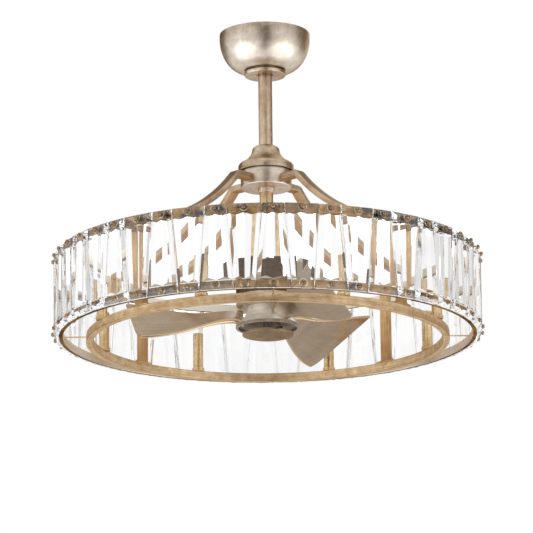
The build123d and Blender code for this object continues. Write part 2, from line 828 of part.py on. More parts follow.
def motor_shell(top_side):
    outer_z = motor_top_z if top_side else motor_bottom_z
    inward = -1 if top_side else 1
    inner_z = outer_z + inward * motor_end_thickness
    low, high = sorted((outer_z, motor_mid_z))
    shell = post(motor_radius, low, high)
    edges = shell.edges().filter_by(GeomType.CIRCLE).sort_by(Axis.Z)
    shell = fillet(edges[-1] if top_side else edges[0], motor_edge)
    low, high = sorted((inner_z, motor_mid_z))
    shell -= post(motor_radius - motor_wall, low, high)
    low, high = sorted((outer_z, inner_z))
    shell -= post(shaft_radius + shaft_hole_gap, low, high)
    boss_inner = bearing_radius + fit_gap
    low, high = sorted((inner_z, inner_z + inward * bearing_height))
    return shell + tube(boss_inner + bearing_boss_wall, boss_inner, low, high)


def motor_shell_lower():
    shell = motor_shell(False)
    hole = post(hub_bolt_radius + fit_gap, motor_bottom_z, motor_bottom_z + motor_end_thickness)
    return without(shell, ring_of(Pos(hub_bolt_circle, 0) * hole, blade_angles))


def bearing(bottom):
    return tube(bearing_radius, shaft_radius + bearing_gap, bottom, bottom + bearing_height)


def magnet_ring():
    outer = motor_radius - motor_wall - fit_gap
    return tube(outer, magnet_inner, motor_mid_z - magnet_height / 2, motor_mid_z + magnet_height / 2)


# Blade hub under the motor, with three twisted blades
blade_waist_z = motor_bottom_z - blade_hub_height * blade_hub_waist_share
web_z = motor_bottom_z - blade_hub_web
blade_seat_radius = blade_hub_waist_radius - blade_hub_wall / 2


def hub_form(inset):
    waist = (blade_hub_waist_radius - inset, blade_waist_z)
    top = (blade_hub_top_radius - inset, motor_bottom_z)
    rim_top = (blade_hub_radius - inset, blade_hub_bottom_z + blade_hub_rim)
    rim_bottom = (blade_hub_radius - inset, blade_hub_bottom_z)
    axis_top = (0, motor_bottom_z)
    axis_bottom = (0, blade_hub_bottom_z)
    return turned([Line(axis_top, top), ThreePointArc(top, waist, rim_top), Line(rim_top, rim_bottom),
                   Line(rim_bottom, axis_bottom), Line(axis_bottom, axis_top)])


def blade_hub():
    hub = hub_form(0)
    hub -= hub_form(blade_hub_wall) & post(blade_hub_radius, blade_hub_bottom_z, web_z)
    hub -= post(shaft_radius + shaft_hole_gap, blade_hub_bottom_z, motor_bottom_z)
    bolt_hole = Pos(hub_bolt_circle, 0) * post(hub_bolt_radius + fit_gap, web_z, motor_bottom_z)
    seat = blade_seat_radius
    screw_hole = bar_along_x(blade_screw_radius + fit_gap, seat, blade_hub_radius, 0, blade_waist_z)
    spot = bar_along_x(blade_screw_head_radius + fit_gap, seat - 2 * blade_hub_wall, seat, 0, blade_waist_z)
    for angle in blade_angles:
        hub = hub - turn(bolt_hole, angle) - turn(screw_hole, angle) - turn(spot, angle)
    return hub


def hub_bolts():
    head_z = web_z - hub_bolt_head_height
    bolt = post(hub_bolt_radius, web_z, web_z + hub_bolt_length)
    bolt += post(hub_bolt_head_radius, head_z, web_z)
    return ring_of(Pos(hub_bolt_circle, 0) * bolt, blade_angles)


def blade_screws():
    start = blade_seat_radius
    screw = bar_along_x(blade_screw_radius, start, start + blade_screw_length, 0, blade_waist_z)
    screw += bar_along_x(blade_screw_head_radius, start - blade_screw_head_height, start, 0, blade_waist_z)
    return ring_of(screw, blade_angles)


def blade_section(radius, low_y, low_z, high_y, high_z, thickness):
    length = math.hypot(low_y - high_y, low_z - high_z)
    tilt = math.degrees(math.atan2(low_z - high_z, low_y - high_y))
    centre = (radius, (low_y + high_y) / 2, (low_z + high_z) / 2)
    plane = Plane(origin=centre, x_dir=(0, 1, 0), z_dir=(1, 0, 0))
    return plane * (Rot(0, 0, tilt) * SlotOverall(length, thickness))


def blade():
    top = ring_bottom_z + blade_drop
    sections = []
    for reach, low_across, low_down, high_across, high_down, thick in blade_shares:
        low_z = ring_bottom_z + blade_drop * (1 - low_down) + blade_low_clear
        high_z = top - blade_drop * high_down + blade_low_clear
        sections.append(blade_section(blade_reach * reach, blade_low_chord * low_across, low_z,
                                      -blade_high_chord * high_across, high_z, blade_thickness * thick))
    paddle = loft(sections)
    tip = Polygon((0, -blade_high_chord), (blade_tip_high_radius, -blade_high_chord),
                  (blade_tip_low_radius, blade_low_chord), (0, blade_low_chord), align=None)
    corners = tip.vertices().sort_by(Axis.X)
    tip = fillet(corners[2], blade_low_corner)
    tip = fillet(tip.vertices().sort_by(Axis.X)[-1], blade_high_corner)
    depth = blade_drop + 2 * blade_low_clear + 2 * blade_thickness
    paddle &= Pos(0, 0, ring_bottom_z - blade_thickness) * extrude(tip, amount=depth)
    paddle -= hub_form(0)
    screw_end = blade_seat_radius + blade_screw_length
    return paddle - bar_along_x(blade_screw_radius + fit_gap, 0, screw_end, 0, blade_waist_z)


# Bottom cap on the end of the fixed shaft
def cap_plate():
    return tube(cap_radius - cap_wall - fit_gap, shaft_radius + fit_gap, cap_plate_z, cap_top_z)


def shaft_nut():
    return hexagon(shaft_nut_radius, shaft_radius + fit_gap, shaft_nut_z, shaft_nut_z + shaft_nut_height)


def bottom_cap():
    low = cap_top_z - cap_side

    def dish(inset):
        rim = cap_radius - inset
        sphere_radius = (cap_radius ** 2 + cap_dome ** 2) / (2 * cap_dome)
        centre_z = low - cap_dome + sphere_radius
        dome = Pos(0, 0, centre_z) * Sphere(sphere_radius - inset)
        return dome & post(rim, low - cap_dome, cap_top_z)

    return dish(0) - dish(cap_wall)


save("hanger_bracket", hanger_bracket())
save("canopy", canopy())
save("canopy_screws", *canopy_screws())
save("canopy_screw_cover", canopy_screw_cover())
save("receiver", receiver())
save("hanger_ball", hanger_ball())
save("ball_pin", ball_pin())
save("set_screws", *set_screws())
save("downrod", downrod())
save("rod_coupling", rod_coupling())
save("coupling_pin", coupling_pin())
save("coupling_pin_clip", coupling_pin_clip())
save("coupling_cover", coupling_cover())
save("arm_hub", arm_hub())
save("hub_plate", hub_plate())
save("hub_screws", *hub_screws())
arm_shape = arm()
for number, angle in enumerate(arm_angles, 1):
    save("arm_" + str(number), turn(arm_shape, angle))
save("arm_bolts", *arm_bolts())
save("foot_screws", *foot_screws())
save("inner_ring", inner_ring())
save("lower_band", lower_band())
save("upper_band", upper_band())
save("ring_rods", *ring_rods())
save("top_rods", *top_rods())
save("crystals_wide_top", *crystals(True))
save("crystals_wide_bottom", *crystals(False))
save("upper_crystal_screws", *crystal_screws(upper_screw_z))
save("lower_crystal_screws", *crystal_screws(lower_screw_z))
save("lamp_cups", *lamp_cups())
save("lamp_sleeves", *lamp_sleeves())
save("lampholders", *lampholders())
save("lamp_nipples", *lamp_nipples())
save("motor_stem", motor_stem())
save("stem_nut", stem_nut())
save("stem_collar", stem_collar())
save("motor_shaft", motor_shaft())
save("retaining_rings", *retaining_rings())
save("stator_core", stator_core())
save("stator_windings", *stator_windings())
save("motor_shell_upper", motor_shell(True))
save("motor_shell_lower", motor_shell_lower())
save("upper_bearing", bearing(bearing_top_z - bearing_height))
save("lower_bearing", bearing(lower_bearing_z))
save("magnet_ring", magnet_ring())
save("blade_hub", blade_hub())
save("hub_bolts", *hub_bolts())
blade_shape = blade()
for number, angle in enumerate(blade_angles, 1):
    save("blade_" + str(number), turn(blade_shape, angle))
save("blade_screws", *blade_screws())
save("cap_plate", cap_plate())
save("shaft_nut", shaft_nut())
save("bottom_cap", bottom_cap())
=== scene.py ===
import cmath
import math

import bmesh
import bpy
from mathutils import Matrix, Vector


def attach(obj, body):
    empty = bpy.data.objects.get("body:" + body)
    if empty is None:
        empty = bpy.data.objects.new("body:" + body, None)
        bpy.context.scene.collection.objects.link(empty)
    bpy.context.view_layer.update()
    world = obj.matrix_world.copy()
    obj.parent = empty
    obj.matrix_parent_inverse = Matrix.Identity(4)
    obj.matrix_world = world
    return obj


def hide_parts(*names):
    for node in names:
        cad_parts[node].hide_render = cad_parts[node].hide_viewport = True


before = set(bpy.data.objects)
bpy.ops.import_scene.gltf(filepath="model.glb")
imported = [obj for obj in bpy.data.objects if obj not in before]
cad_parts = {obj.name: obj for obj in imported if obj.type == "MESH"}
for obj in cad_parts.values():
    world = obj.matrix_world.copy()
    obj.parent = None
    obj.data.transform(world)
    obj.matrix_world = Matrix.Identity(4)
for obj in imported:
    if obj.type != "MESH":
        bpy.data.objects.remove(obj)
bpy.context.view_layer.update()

# Camera. The fan was photographed from below and in front, far off through a long lens, so that the drum
# shows its underside. The picture is turned by a little over half a degree.
camera_place = (-0.2010, -6.8541, -2.1944)
camera_turn, camera_lift, camera_roll = -1.669, 14.17, -0.626
camera_data = bpy.data.cameras.new("camera")
camera_data.sensor_width = 36
camera_data.lens = 249.9
camera = bpy.data.objects.new("camera", camera_data)
bpy.context.scene.collection.objects.link(camera)
camera.matrix_world = (Matrix.Translation(camera_place)
                       @ Matrix.Rotation(math.radians(camera_turn), 4, "Z")
                       @ Matrix.Rotation(math.radians(90 + camera_lift), 4, "X")
                       @ Matrix.Rotation(math.radians(camera_roll), 4, "Z"))
bpy.context.scene.camera = camera

# Studio. A white room over a pale floor that is clear from underneath, with large soft lamps low on both sides and
# a small one behind. Four flags give the metal its dark streak and edges. They show in reflections alone, but for
# the two at the sides, which show a little in the glass too.
floor_level, floor_reach = -4.5, 20
floor_colour = (0.86, 0.855, 0.85, 1)
floor_share, room_light, light_bounces = 0.72, 0.55, 24
room_colour, white = (1, 0.99, 0.975, 1), (1, 1, 1, 1)
lamp_aim = Vector((0, 0, -0.25))
lamp_colour = (0.94, 0.975, 1.0)
# Lamps are place, size and power
lamps = {
    "lamp_left": ((-2.7, -1.0, -2.75), 4.4, 64),
    "lamp_right": ((2.5, -1.2, -2.75), 4.4, 64),
    "lamp_back": ((0.6, 3.6, 1.6), 2.4, 24),
}
flag_brown, flag_beige = (0.12, 0.075, 0.04, 1), (0.34, 0.26, 0.185, 1)
# Flags are colour, how clear they are in glass, and corners
flags = {
    "front_flag": (flag_brown, 1.0, ((-0.42, -2.0, -2.6), (0.42, -2.0, -2.6), (1.5, -5.6, 1.9), (-1.5, -5.6, 1.9))),
    "left_flag": (flag_beige, 0.6, ((-4.6, 2.6, -0.9), (-2.2, 4.6, -0.9), (-2.2, 4.6, 2.4), (-4.6, 2.6, 2.4))),
    "right_flag": (flag_beige, 0.72, ((4.9, -0.2, -0.9), (3.4, 3.6, -0.9), (3.4, 3.6, 2.4), (4.9, -0.2, 2.4))),
    "back_flag": (flag_beige, 1.0, ((-2.2, 5.0, -0.9), (2.2, 5.0, -0.9), (2.2, 5.0, 3.4), (-2.2, 5.0, 3.4))),
}


def add(tree, kind, settings=None, inputs=None):
    """One node of a tree, with its settings and its inputs, each a value or another node's output."""
    made = tree.nodes.new(kind if kind.startswith("Geometry") else "ShaderNode" + kind)
    for key, value in (settings or {}).items():
        setattr(made, key, value)
    for key, value in (inputs or {}).items():
        if isinstance(value, bpy.types.NodeSocket):
            tree.links.new(value, made.inputs[key])
        else:
            made.inputs[key].default_value = value
    return made


def sums(tree, operation, first, second=0.0):
    return add(tree, "Math", {"operation": operation}, {0: first, 1: second}).outputs[0]


def seen_share(tree):
    """1 where the camera looks, by itself or through metal and glass, and 0 for the light that falls on things."""
    ray = add(tree, "LightPath").outputs
    direct = sums(tree, "MAXIMUM", ray["Is Camera Ray"], ray["Is Glossy Ray"])
    return sums(tree, "MAXIMUM", direct, ray["Is Transmission Ray"])


def lay_over(tree, share, shader, output="Material Output"):
    """Puts another shader in place of the surface's own, by a share."""
    surface = tree.nodes[output].inputs["Surface"]
    mixed = add(tree, "MixShader", None, {0: share, 1: surface.links[0].from_socket, 2: shader.outputs[0]})
    tree.links.new(mixed.outputs[0], surface)


room = bpy.data.worlds.new("room")
bpy.context.scene.world = room
room.use_nodes = True
tree = room.node_tree
tree.nodes["Background"].inputs["Color"].default_value = room_colour
tree.nodes["Background"].inputs["Strength"].default_value = room_light
lay_over(tree, seen_share(tree), add(tree, "Background", None, {"Color": white, "Strength": 1.0}), "World Output")


def card(name, corners, colour):
    mesh = bpy.data.meshes.new(name)
    mesh.from_pydata(corners, [], [(0, 1, 2, 3)])
    made = bpy.data.objects.new(name, mesh)
    bpy.context.scene.collection.objects.link(made)
    finish = bpy.data.materials.new(name)
    finish.use_nodes = True
    shader = finish.node_tree.nodes["Principled BSDF"]
    shader.inputs["Base Color"].default_value = colour
    shader.inputs["Roughness"].default_value = 0.9
    shader.inputs["Specular IOR Level"].default_value = 0.1
    mesh.materials.append(finish)
    return made, finish.node_tree


_, tree = card("floor", [(x * floor_reach, y * floor_reach, floor_level)
                         for x, y in ((-1, -1), (1, -1), (1, 1), (-1, 1))], floor_colour)
lay_over(tree, sums(tree, "MULTIPLY", seen_share(tree), floor_share),
         add(tree, "Emission", None, {"Color": white, "Strength": 1.0}))
from_below = sums(tree, "MULTIPLY", add(tree, "LightPath").outputs["Is Camera Ray"],
                  add(tree, "NewGeometry").outputs["Backfacing"])
lay_over(tree, from_below, add(tree, "BsdfTransparent"))
for name, (colour, clear_share, corners) in flags.items():
    flag, tree = card(name, corners, colour)
    in_glass = sums(tree, "GREATER_THAN", add(tree, "LightPath").outputs["Transmission Depth"], 0.5)
    lay_over(tree, sums(tree, "MULTIPLY", in_glass, clear_share), add(tree, "BsdfTransparent"))
    for seen_by in ("camera", "diffuse", "shadow", "volume_scatter"):
        setattr(flag, "visible_" + seen_by, False)
for name, (place, size, power) in lamps.items():
    light = bpy.data.lights.new(name, "AREA")
    light.shape = "DISK"
    light.size = size
    light.energy = power
    light.color = lamp_colour
    lamp = bpy.data.objects.new(name, light)
    lamp.location = place
    lamp.rotation_euler = (lamp_aim - Vector(place)).to_track_quat("-Z", "Y").to_euler()
    lamp.visible_camera = False
    bpy.context.scene.collection.objects.link(lamp)
bpy.context.scene.view_settings.view_transform = "Standard"
for kind in ("max", "transmission", "transparent_max"):
    setattr(bpy.context.scene.cycles, kind + "_bounces", light_bounces)

# Hanger bracket, its screws and the other zinc-plated steel. Pressed and turned parts, hidden in the canopy,
# the bell cover, the hub and the motor, with the fine spangle of zinc plating.
zinc_nodes = ("hanger_bracket", "ball_pin", "set_screws", "coupling_pin", "coupling_pin_clip", "hub_screws",
              "hub_plate", "lamp_nipples", "stem_nut", "motor_shaft", "retaining_rings", "cap_plate", "shaft_nut",
              "hub_bolts", "blade_screws", "canopy_screws")


def new_finish(name):
    finish = bpy.data.materials.new(name)
    finish.use_nodes = True
    tree = finish.node_tree
    return finish, tree, tree.nodes["Principled BSDF"]


def blend_colours(tree, share, *shades):
    """Two shades mixed by a share, each a colour or another node's output."""
    first, second = (shade if isinstance(shade, bpy.types.NodeSocket) else (*shade, 1) for shade in shades)
    return add(tree, "Mix", {"data_type": "RGBA"}, {0: share, 6: first, 7: second}).outputs[2]


def spread(tree, value, low, high, to_low=0.0, to_high=1.0):
    """A value between low and high, spread out to its new range."""
    names = ("Value", "From Min", "From Max", "To Min", "To Max")
    return add(tree, "MapRange", None, dict(zip(names, (value, low, high, to_low, to_high)))).outputs[0]


def noise_at(tree, place, scale, detail=3.0, roughness=0.55):
    inputs = {"Vector": place, "Scale": scale, "Detail": detail, "Roughness": roughness}
    return add(tree, "TexNoise", None, inputs).outputs[0]


def bumped(tree, shader, height, depth):
    bump = add(tree, "Bump", None, {"Height": height, "Distance": depth})
    tree.links.new(bump.outputs[0], shader.inputs["Normal"])


def plain_finish(name, deep, pale, scale, metal, roughness, depth):
    """A finish of two shades in soft grains, for castings, plating and mouldings."""
    finish, tree, shader = new_finish(name)
    place = add(tree, "TexCoord").outputs["Object"]
    grain = noise_at(tree, place, scale, 4.0, 0.6)
    cloud = noise_at(tree, place, scale / 12)
    share = spread(tree, sums(tree, "ADD", grain, cloud), 0.75, 1.25)
    tree.links.new(blend_colours(tree, share, deep, pale), shader.inputs["Base Color"])
    tree.links.new(spread(tree, cloud, 0.35, 0.65, *roughness), shader.inputs["Roughness"])
    shader.inputs["Metallic"].default_value = metal
    bumped(tree, shader, grain, depth)
    return finish


def dress(nodes, finish):
    for node in nodes:
        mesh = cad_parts[node].data
        mesh.materials.clear()
        mesh.materials.append(finish)


zinc = plain_finish("zinc_plating", (0.40, 0.41, 0.42), (0.62, 0.62, 0.61), 420, 1, (0.28, 0.42), 0.00002)
dress(zinc_nodes, zinc)

# Receiver of the hand control. A two-part moulded case, pushed in between the bracket and the canopy.
dress(("receiver",), plain_finish(
    "moulded_case", (0.74, 0.74, 0.71), (0.82, 0.82, 0.80), 900, 0, (0.45, 0.6), 0.00003))

# Hanger ball. Moulded nylon, black, on a steel pin, swinging in the bracket's seat.
dress(("hanger_ball",), plain_finish(
    "ball_nylon", (0.012, 0.012, 0.013), (0.03, 0.03, 0.03), 700, 0, (0.38, 0.5), 0.00003))

# Canopy. A bowl spun from sheet steel and finished in champagne silver leaf, which is rubbed back so that its
# warm ground shows. It holds to the bracket's feet by two screws under the loose cover.
mm = 0.001  # sizes of pieces are written in millimetres
sharp_angle = math.radians(32)
canopy_radius, canopy_floor_radius, canopy_mouth_radius = 87.5, 40.0, 24.0
canopy_depth, canopy_rim_height, canopy_wall = 73.5, 8.0, 1.2


def place_parts(tree):
    """A point's place on its piece, the three parts of that, and the distance from the fan's axis."""
    place = add(tree, "TexCoord").outputs["Object"]
    part = add(tree, "SeparateXYZ", None, {0: place}).outputs
    flat = add(tree, "CombineXYZ", None, {0: part[0], 1: part[1]}).outputs[0]
    return place, part, add(tree, "VectorMath", {"operation": "LENGTH"}, {0: flat}).outputs["Value"]


def leaf_finish(name, deep, pale, grain="round", fine=420, long=20, leaf=80, roughness=(0.26, 0.42),
                edge=(0.62, 0.5, 0.4), streak_share=0.4, depth=0.00006, contrast=0.16, metal=1.0, below=None):
    """Leafed and rubbed metal. The grain runs up, round the axis, or along a piece that has a UV map. Between two
    heights, the leaf may turn to a second pair of shades for what is below."""
    finish, tree, shader = new_finish(name)
    place, part, radius = place_parts(tree)
    source, stretch, dimensions, inputs = place, (fine, fine, long), "3D", {"Roughness": 0.55}
    if grain == "round":
        source = add(tree, "CombineXYZ", None, {0: radius, 1: part[2], 2: part[0]}).outputs[0]
        dimensions, inputs = "4D", {"W": sums(tree, "MULTIPLY", part[1], long), "Roughness": 0.5}
    elif grain == "along":
        source, stretch = add(tree, "TexCoord").outputs["UV"], (long, fine, fine)
    line = add(tree, "VectorMath", {"operation": "MULTIPLY"}, {0: source, 1: stretch}).outputs[0]
    inputs.update({"Vector": line, "Scale": 1.0, "Detail": 3.0})
    streak = add(tree, "TexNoise", {"noise_dimensions": dimensions}, inputs).outputs[0]
    cloud = noise_at(tree, place, leaf, 5.0, 0.62)
    broad = noise_at(tree, place, leaf / 5, 2.0)
    mixed = add(tree, "Mix", {"data_type": "FLOAT"}, {0: streak_share, 2: cloud, 3: streak}).outputs[0]
    mixed = sums(tree, "ADD", mixed, sums(tree, "MULTIPLY", sums(tree, "SUBTRACT", broad, 0.5), 0.5))
    share = spread(tree, mixed, 0.5 - contrast, 0.5 + contrast)
    colour = blend_colours(tree, share, deep, pale)
    if below:
        start, end, *shades = below
        colour = blend_colours(tree, spread(tree, part[2], start, end), colour, blend_colours(tree, share, *shades))
    tree.links.new(colour, shader.inputs["Base Color"])
    rough = sums(tree, "ADD", sums(tree, "MULTIPLY", cloud, 0.6), sums(tree, "MULTIPLY", streak, 0.4))
    tree.links.new(spread(tree, rough, 0.3, 0.7, *roughness), shader.inputs["Roughness"])
    shader.inputs["Metallic"].default_value = metal
    shader.inputs["Specular Tint"].default_value = (*edge, 1)
    bumped(tree, shader, mixed, depth)
    return finish


def softened(corners, steps=4):
    """An outline through (radius, height, rounding) corners, each rounded by its own reach."""
    points = []
    for k, (radius, height, rounding) in enumerate(corners):
        here = Vector((radius, height))
        if not rounding:
            points.append(here)
            continue
        before = Vector(corners[k - 1][:2]) - here
        after = Vector(corners[(k + 1) % len(corners)][:2]) - here
        start = here + before.normalized() * min(rounding, before.length * 0.49)
        end = here + after.normalized() * min(rounding, after.length * 0.49)
        for step in range(steps + 1):
            t = step / steps
            points.append(start * (1 - t) ** 2 + here * 2 * t * (1 - t) + end * t * t)
    return points


def bow(centre, radii, start, end, steps=32):
    """Corners on an arc of an ellipse, from one angle to the other."""
    angles = [math.radians(start + (end - start) * k / steps) for k in range(steps + 1)]
    return [(centre[0] + radii[0] * math.cos(a), centre[1] + radii[1] * math.sin(a), 0) for a in angles]


def as_piece(name, build, finish):
    bmesh.ops.recalc_face_normals(build, faces=build.faces)
    mesh = bpy.data.meshes.new(name)
    build.to_mesh(mesh)
    build.free()
    mesh.shade_smooth()
    mesh.set_sharp_from_angle(angle=sharp_angle)
    mesh.materials.append(finish)
    piece = bpy.data.objects.new(name, mesh)
    bpy.context.scene.collection.objects.link(piece)
    return piece


def spin_into(build, outline, steps, tilt=None):
    """Adds an outline in millimetres, turned round the axis and then moved by a matrix."""
    rings = []
    for radius, height in outline:
        count = steps if radius > 1e-4 else 1
        angles = [math.tau * k / steps for k in range(count)]
        places = [Vector((radius * math.cos(a), radius * math.sin(a), height)) * mm for a in angles]
        rings.append([build.verts.new(tilt @ place if tilt else place) for place in places])
    for first, second in zip(rings, rings[1:] + rings[:1]):
        for k in range(steps):
            corners = [first[k % len(first)], first[(k + 1) % len(first)],
                       second[(k + 1) % len(second)], second[k % len(second)]]
            corners = list(dict.fromkeys(corners))
            if len(corners) > 2:
                build.faces.new(corners)


def place_piece(piece, body, node):
    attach(piece, body)
    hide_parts(node)


def spun(name, corners, finish, steps, rounding=4, tilt=None):
    build = bmesh.new()
    spin_into(build, softened(corners, rounding), steps, tilt)
    return as_piece(name, build, finish)


def turned(node, body, corners, finish, steps=128):
    """A piece turned from an outline, in place of the CAD node whose name it has."""
    piece = spun(node, corners, finish, steps)
    place_piece(piece, body, node)
    return piece


# Painted light: from just under the rim to halfway down, the bowl turns to a paler pair of shades.
canopy_leaf = leaf_finish(
    "silver_leaf_canopy", (0.35, 0.265, 0.19), (0.64, 0.55, 0.45), "up", fine=260, long=60, leaf=70,
    roughness=(0.27, 0.38), streak_share=0.3, contrast=0.2,
    below=(-0.008, -0.042, (0.66, 0.56, 0.45), (0.94, 0.88, 0.79)))
bowl_centre = (canopy_floor_radius, -canopy_rim_height)
bowl_reach, bowl_depth = canopy_radius - canopy_floor_radius, canopy_depth - canopy_rim_height
outside = bow(bowl_centre, (bowl_reach, bowl_depth), 0, -90)
inside = bow(bowl_centre, (bowl_reach - canopy_wall, bowl_depth - canopy_wall), -90, 0)
turned("canopy", "ceiling_mount", [
    (canopy_radius, 0, 0.4), *outside, (canopy_mouth_radius, -canopy_depth, 0.4),
    (canopy_mouth_radius, -canopy_depth + canopy_wall, 0.4), *inside, (canopy_radius - canopy_wall, 0, 0.4)],
    canopy_leaf, 160)

# Screw cover. A shallow spun dish that pushes up over the canopy's screws and leaves a shadow gap.
cover_radius, cover_hole_radius, cover_wall = 40.0, 17.5, 1.2
cover_top, cover_bottom = -76.7, -83.2
cover_leaf = leaf_finish(
    "silver_leaf_cover", (0.46, 0.35, 0.26), (0.80, 0.70, 0.58), fine=500, roughness=(0.24, 0.36), streak_share=0.3)
turned("canopy_screw_cover", "ceiling_mount", [
    (cover_radius, cover_top, 0.3), (cover_radius, cover_bottom, 3.0), (cover_hole_radius, cover_bottom, 0.5),
    (cover_hole_radius, cover_bottom + cover_wall, 0.3),
    (cover_radius - cover_wall, cover_bottom + cover_wall, 0.9),
    (cover_radius - cover_wall, cover_top, 0.3)], cover_leaf)

# Downrod. Three-quarter inch pipe, pinned to the ball above and to the coupling below, leafed with long
# vertical strokes of the brush.
rod_radius, rod_bore, rod_top, rod_bottom = 13.35, 10.45, -27.2, -262.0
rod_leaf = leaf_finish(
    "silver_leaf_rod", (0.44, 0.31, 0.20), (0.76, 0.62, 0.46), "up", long=26, leaf=95, roughness=(0.38, 0.52),
    streak_share=0.55, depth=0.0001)
turned("downrod", "fixture", [
    (rod_radius, rod_top, 0.5), (rod_radius, rod_bottom, 0.5), (rod_bore, rod_bottom, 0.5),
    (rod_bore, rod_top, 0.5)], rod_leaf, 64)

# Rod coupling. A rough grey casting under the bell, pinned and screwed to the downrod.
dress(("rod_coupling",), plain_finish(
    "rough_casting", (0.05, 0.05, 0.055), (0.12, 0.12, 0.12), 260, 1, (0.5, 0.7), 0.0002))

# Bell cover. Spun like the canopy, with a flat crown round the rod, a flare with a small step, and a
# straight skirt round the hub's plate.
bell_radius, bell_bore, bell_wall, bell_top, bell_bottom = 53.6, 13.75, 1.5, -225, -276
bell_outside = [(bell_bore, bell_top, 0.5), (20, bell_top, 3.4), (25.9, -229.6, 2.4), (26.7, -234.5, 0),
                (28.3, -240.5, 0), (30.9, -244.8, 0), (35.7, -250.4, 0), (39.6, -254.2, 0), (43.6, -257.6, 0.5),
                (46.0, -257.9, 0.6), (50.6, -260.6, 0), (53.0, -263.6, 0), (bell_radius, -265.8, 0),
                (bell_radius, bell_bottom, 0.5)]
bell_inside = [(bell_radius - bell_wall, bell_bottom, 0.3), (bell_radius - bell_wall, -265.8, 0),
               (50.6, -263.0, 0), (45.0, -259.4, 0.4), (42.4, -258.9, 0.4), (34.6, -251.6, 0), (29.4, -245.4, 0),
               (26.8, -241, 0), (25.2, -235, 0), (24.4, -230.6, 1.5), (20, bell_top - bell_wall, 1.5),
               (bell_bore, bell_top - bell_wall, 0.3)]
bell_leaf = leaf_finish(
    "silver_leaf_bell", (0.34, 0.24, 0.155), (0.74, 0.61, 0.46), long=18, leaf=75, roughness=(0.25, 0.38),
    depth=0.00008)
turned("coupling_cover", "fixture", bell_outside + bell_inside, bell_leaf)

# Arm hub. A turned drum with a soft lower edge. The four arms enter through slots in its wall and are bolted
# to its floor.
hub_radius, hub_bore, hub_wall, hub_floor, hub_edge = 49.0, 13.1, 5.0, 4.0, 3.0
hub_top, hub_bottom = -276.0, -309.0
# Painted light: the soft lower edge and the underside are painted paler.
hub_leaf = leaf_finish(
    "silver_leaf_hub", (0.44, 0.34, 0.255), (0.74, 0.64, 0.53), fine=380, long=16, leaf=75, roughness=(0.28, 0.4),
    depth=0.00008, below=(-0.3045, -0.3080, (0.66, 0.55, 0.46), (0.95, 0.87, 0.78)))
turned("arm_hub", "fixture", [
    (hub_radius, hub_top, 0.4), (hub_radius, hub_bottom, hub_edge), (hub_bore, hub_bottom, 0.4),
    (hub_bore, hub_bottom + hub_floor, 0.4), (hub_radius - hub_wall, hub_bottom + hub_floor, 1.0),
    (hub_radius - hub_wall, hub_top, 0.4)], hub_leaf)

# Arms. Four hollow flat bars, bent on edge: a level stub in the hub, a long sweep down and out to the drum,
# and a straight leg to the inner ring, where a foot plate is welded on. Gold leaf, brushed along the bar.
arm_width, arm_thickness, arm_edge = 20.0, 12.0, 1.1
stub_height, stub_start, stub_end = -295.0, 30.0, 82.0
first_bend, corner_bend, steep, shallow = 7.0, 14.0, math.radians(48.5), math.radians(8.0)
leg_radius, leg_end = 339.0, -596.5
foot_size, foot_bottom, foot_edge = (13.0, 38.0, 3.0), -598.0, 0.7
# Painted light: low in the drum the legs are painted a brighter gold than the sweep above.
arm_leaf = leaf_finish(
    "gold_leaf_arm", (0.33, 0.215, 0.12), (0.72, 0.555, 0.385), "along", fine=700, long=16,
    roughness=(0.32, 0.48), streak_share=0.7, depth=0.0001, contrast=0.17, metal=0.8,
    below=(-0.40, -0.50, (0.46, 0.25, 0.08), (0.96, 0.70, 0.38)))


def overpaint(finish, share, colour):
    """Lays another colour over a finish where the share is 1."""
    base = finish.node_tree.nodes["Principled BSDF"].inputs["Base Color"]
    mixed = blend_colours(finish.node_tree, share, base.links[0].from_socket, colour)
    finish.node_tree.links.new(mixed, base)


# Painted light and shade by how far the surface looks up: painted shade darkens the top, and a painted warm brown
# lies underneath
tree = arm_leaf.node_tree
upward = add(tree, "Attribute", {"attribute_name": "upward"}).outputs["Fac"]
for start, full, share, colour in ((0.15, 0.5, 0.85, (0.13, 0.078, 0.044)), (-0.2, -0.55, 0.7, (0.42, 0.22, 0.09))):
    overpaint(arm_leaf, spread(tree, upward, start, full, 0.0, share), colour)


def arm_line():
    """Points of the bar's middle line as (out, up, slope)."""
    points = [(stub_start, stub_height, 0.0), (stub_end, stub_height, 0.0)]

    def bend(radius, start, end, count):
        out, up, _ = points[-1]
        for k in range(1, count + 1):
            slope = start + (end - start) * k / count
            points.append((out + radius * abs(math.sin(slope) - math.sin(start)),
                           up - radius * abs(math.cos(start) - math.cos(slope)), slope))

    bend(first_bend, 0.0, steep, 8)
    out_here = points[-1][0]
    out_corner = leg_radius - corner_bend * (1 - math.sin(shallow))
    bend((out_corner - out_here) / (math.sin(steep) - math.sin(shallow)), steep, shallow, 40)
    bend(corner_bend, shallow, math.pi / 2, 12)
    points.append((leg_radius, leg_end, math.pi / 2))
    return points


def rounded_bar(width, thickness, edge, steps=3):
    """Corners of the bar's section as (across, through)."""
    section = []
    for across, through, start in ((1, 1, 0), (-1, 1, 90), (-1, -1, 180), (1, -1, 270)):
        for k in range(steps + 1):
            angle = math.radians(start + 90 * k / steps)
            section.append((across * (width / 2 - edge) + edge * math.cos(angle),
                            through * (thickness / 2 - edge) + edge * math.sin(angle)))
    return section


def skin(build, layer, rings):
    """Faces over rings of (vertex, along, across), each ring closed by its first vertex again. The last two values
    go into the UV map."""
    for first, second in zip(rings, rings[1:]):
        for k in range(len(first) - 1):
            corners = (first[k], first[k + 1], second[k + 1], second[k])
            face = build.faces.new([corner[0] for corner in corners])
            for loop, corner in zip(face.loops, corners):
                loop[layer].uv = corner[1:]


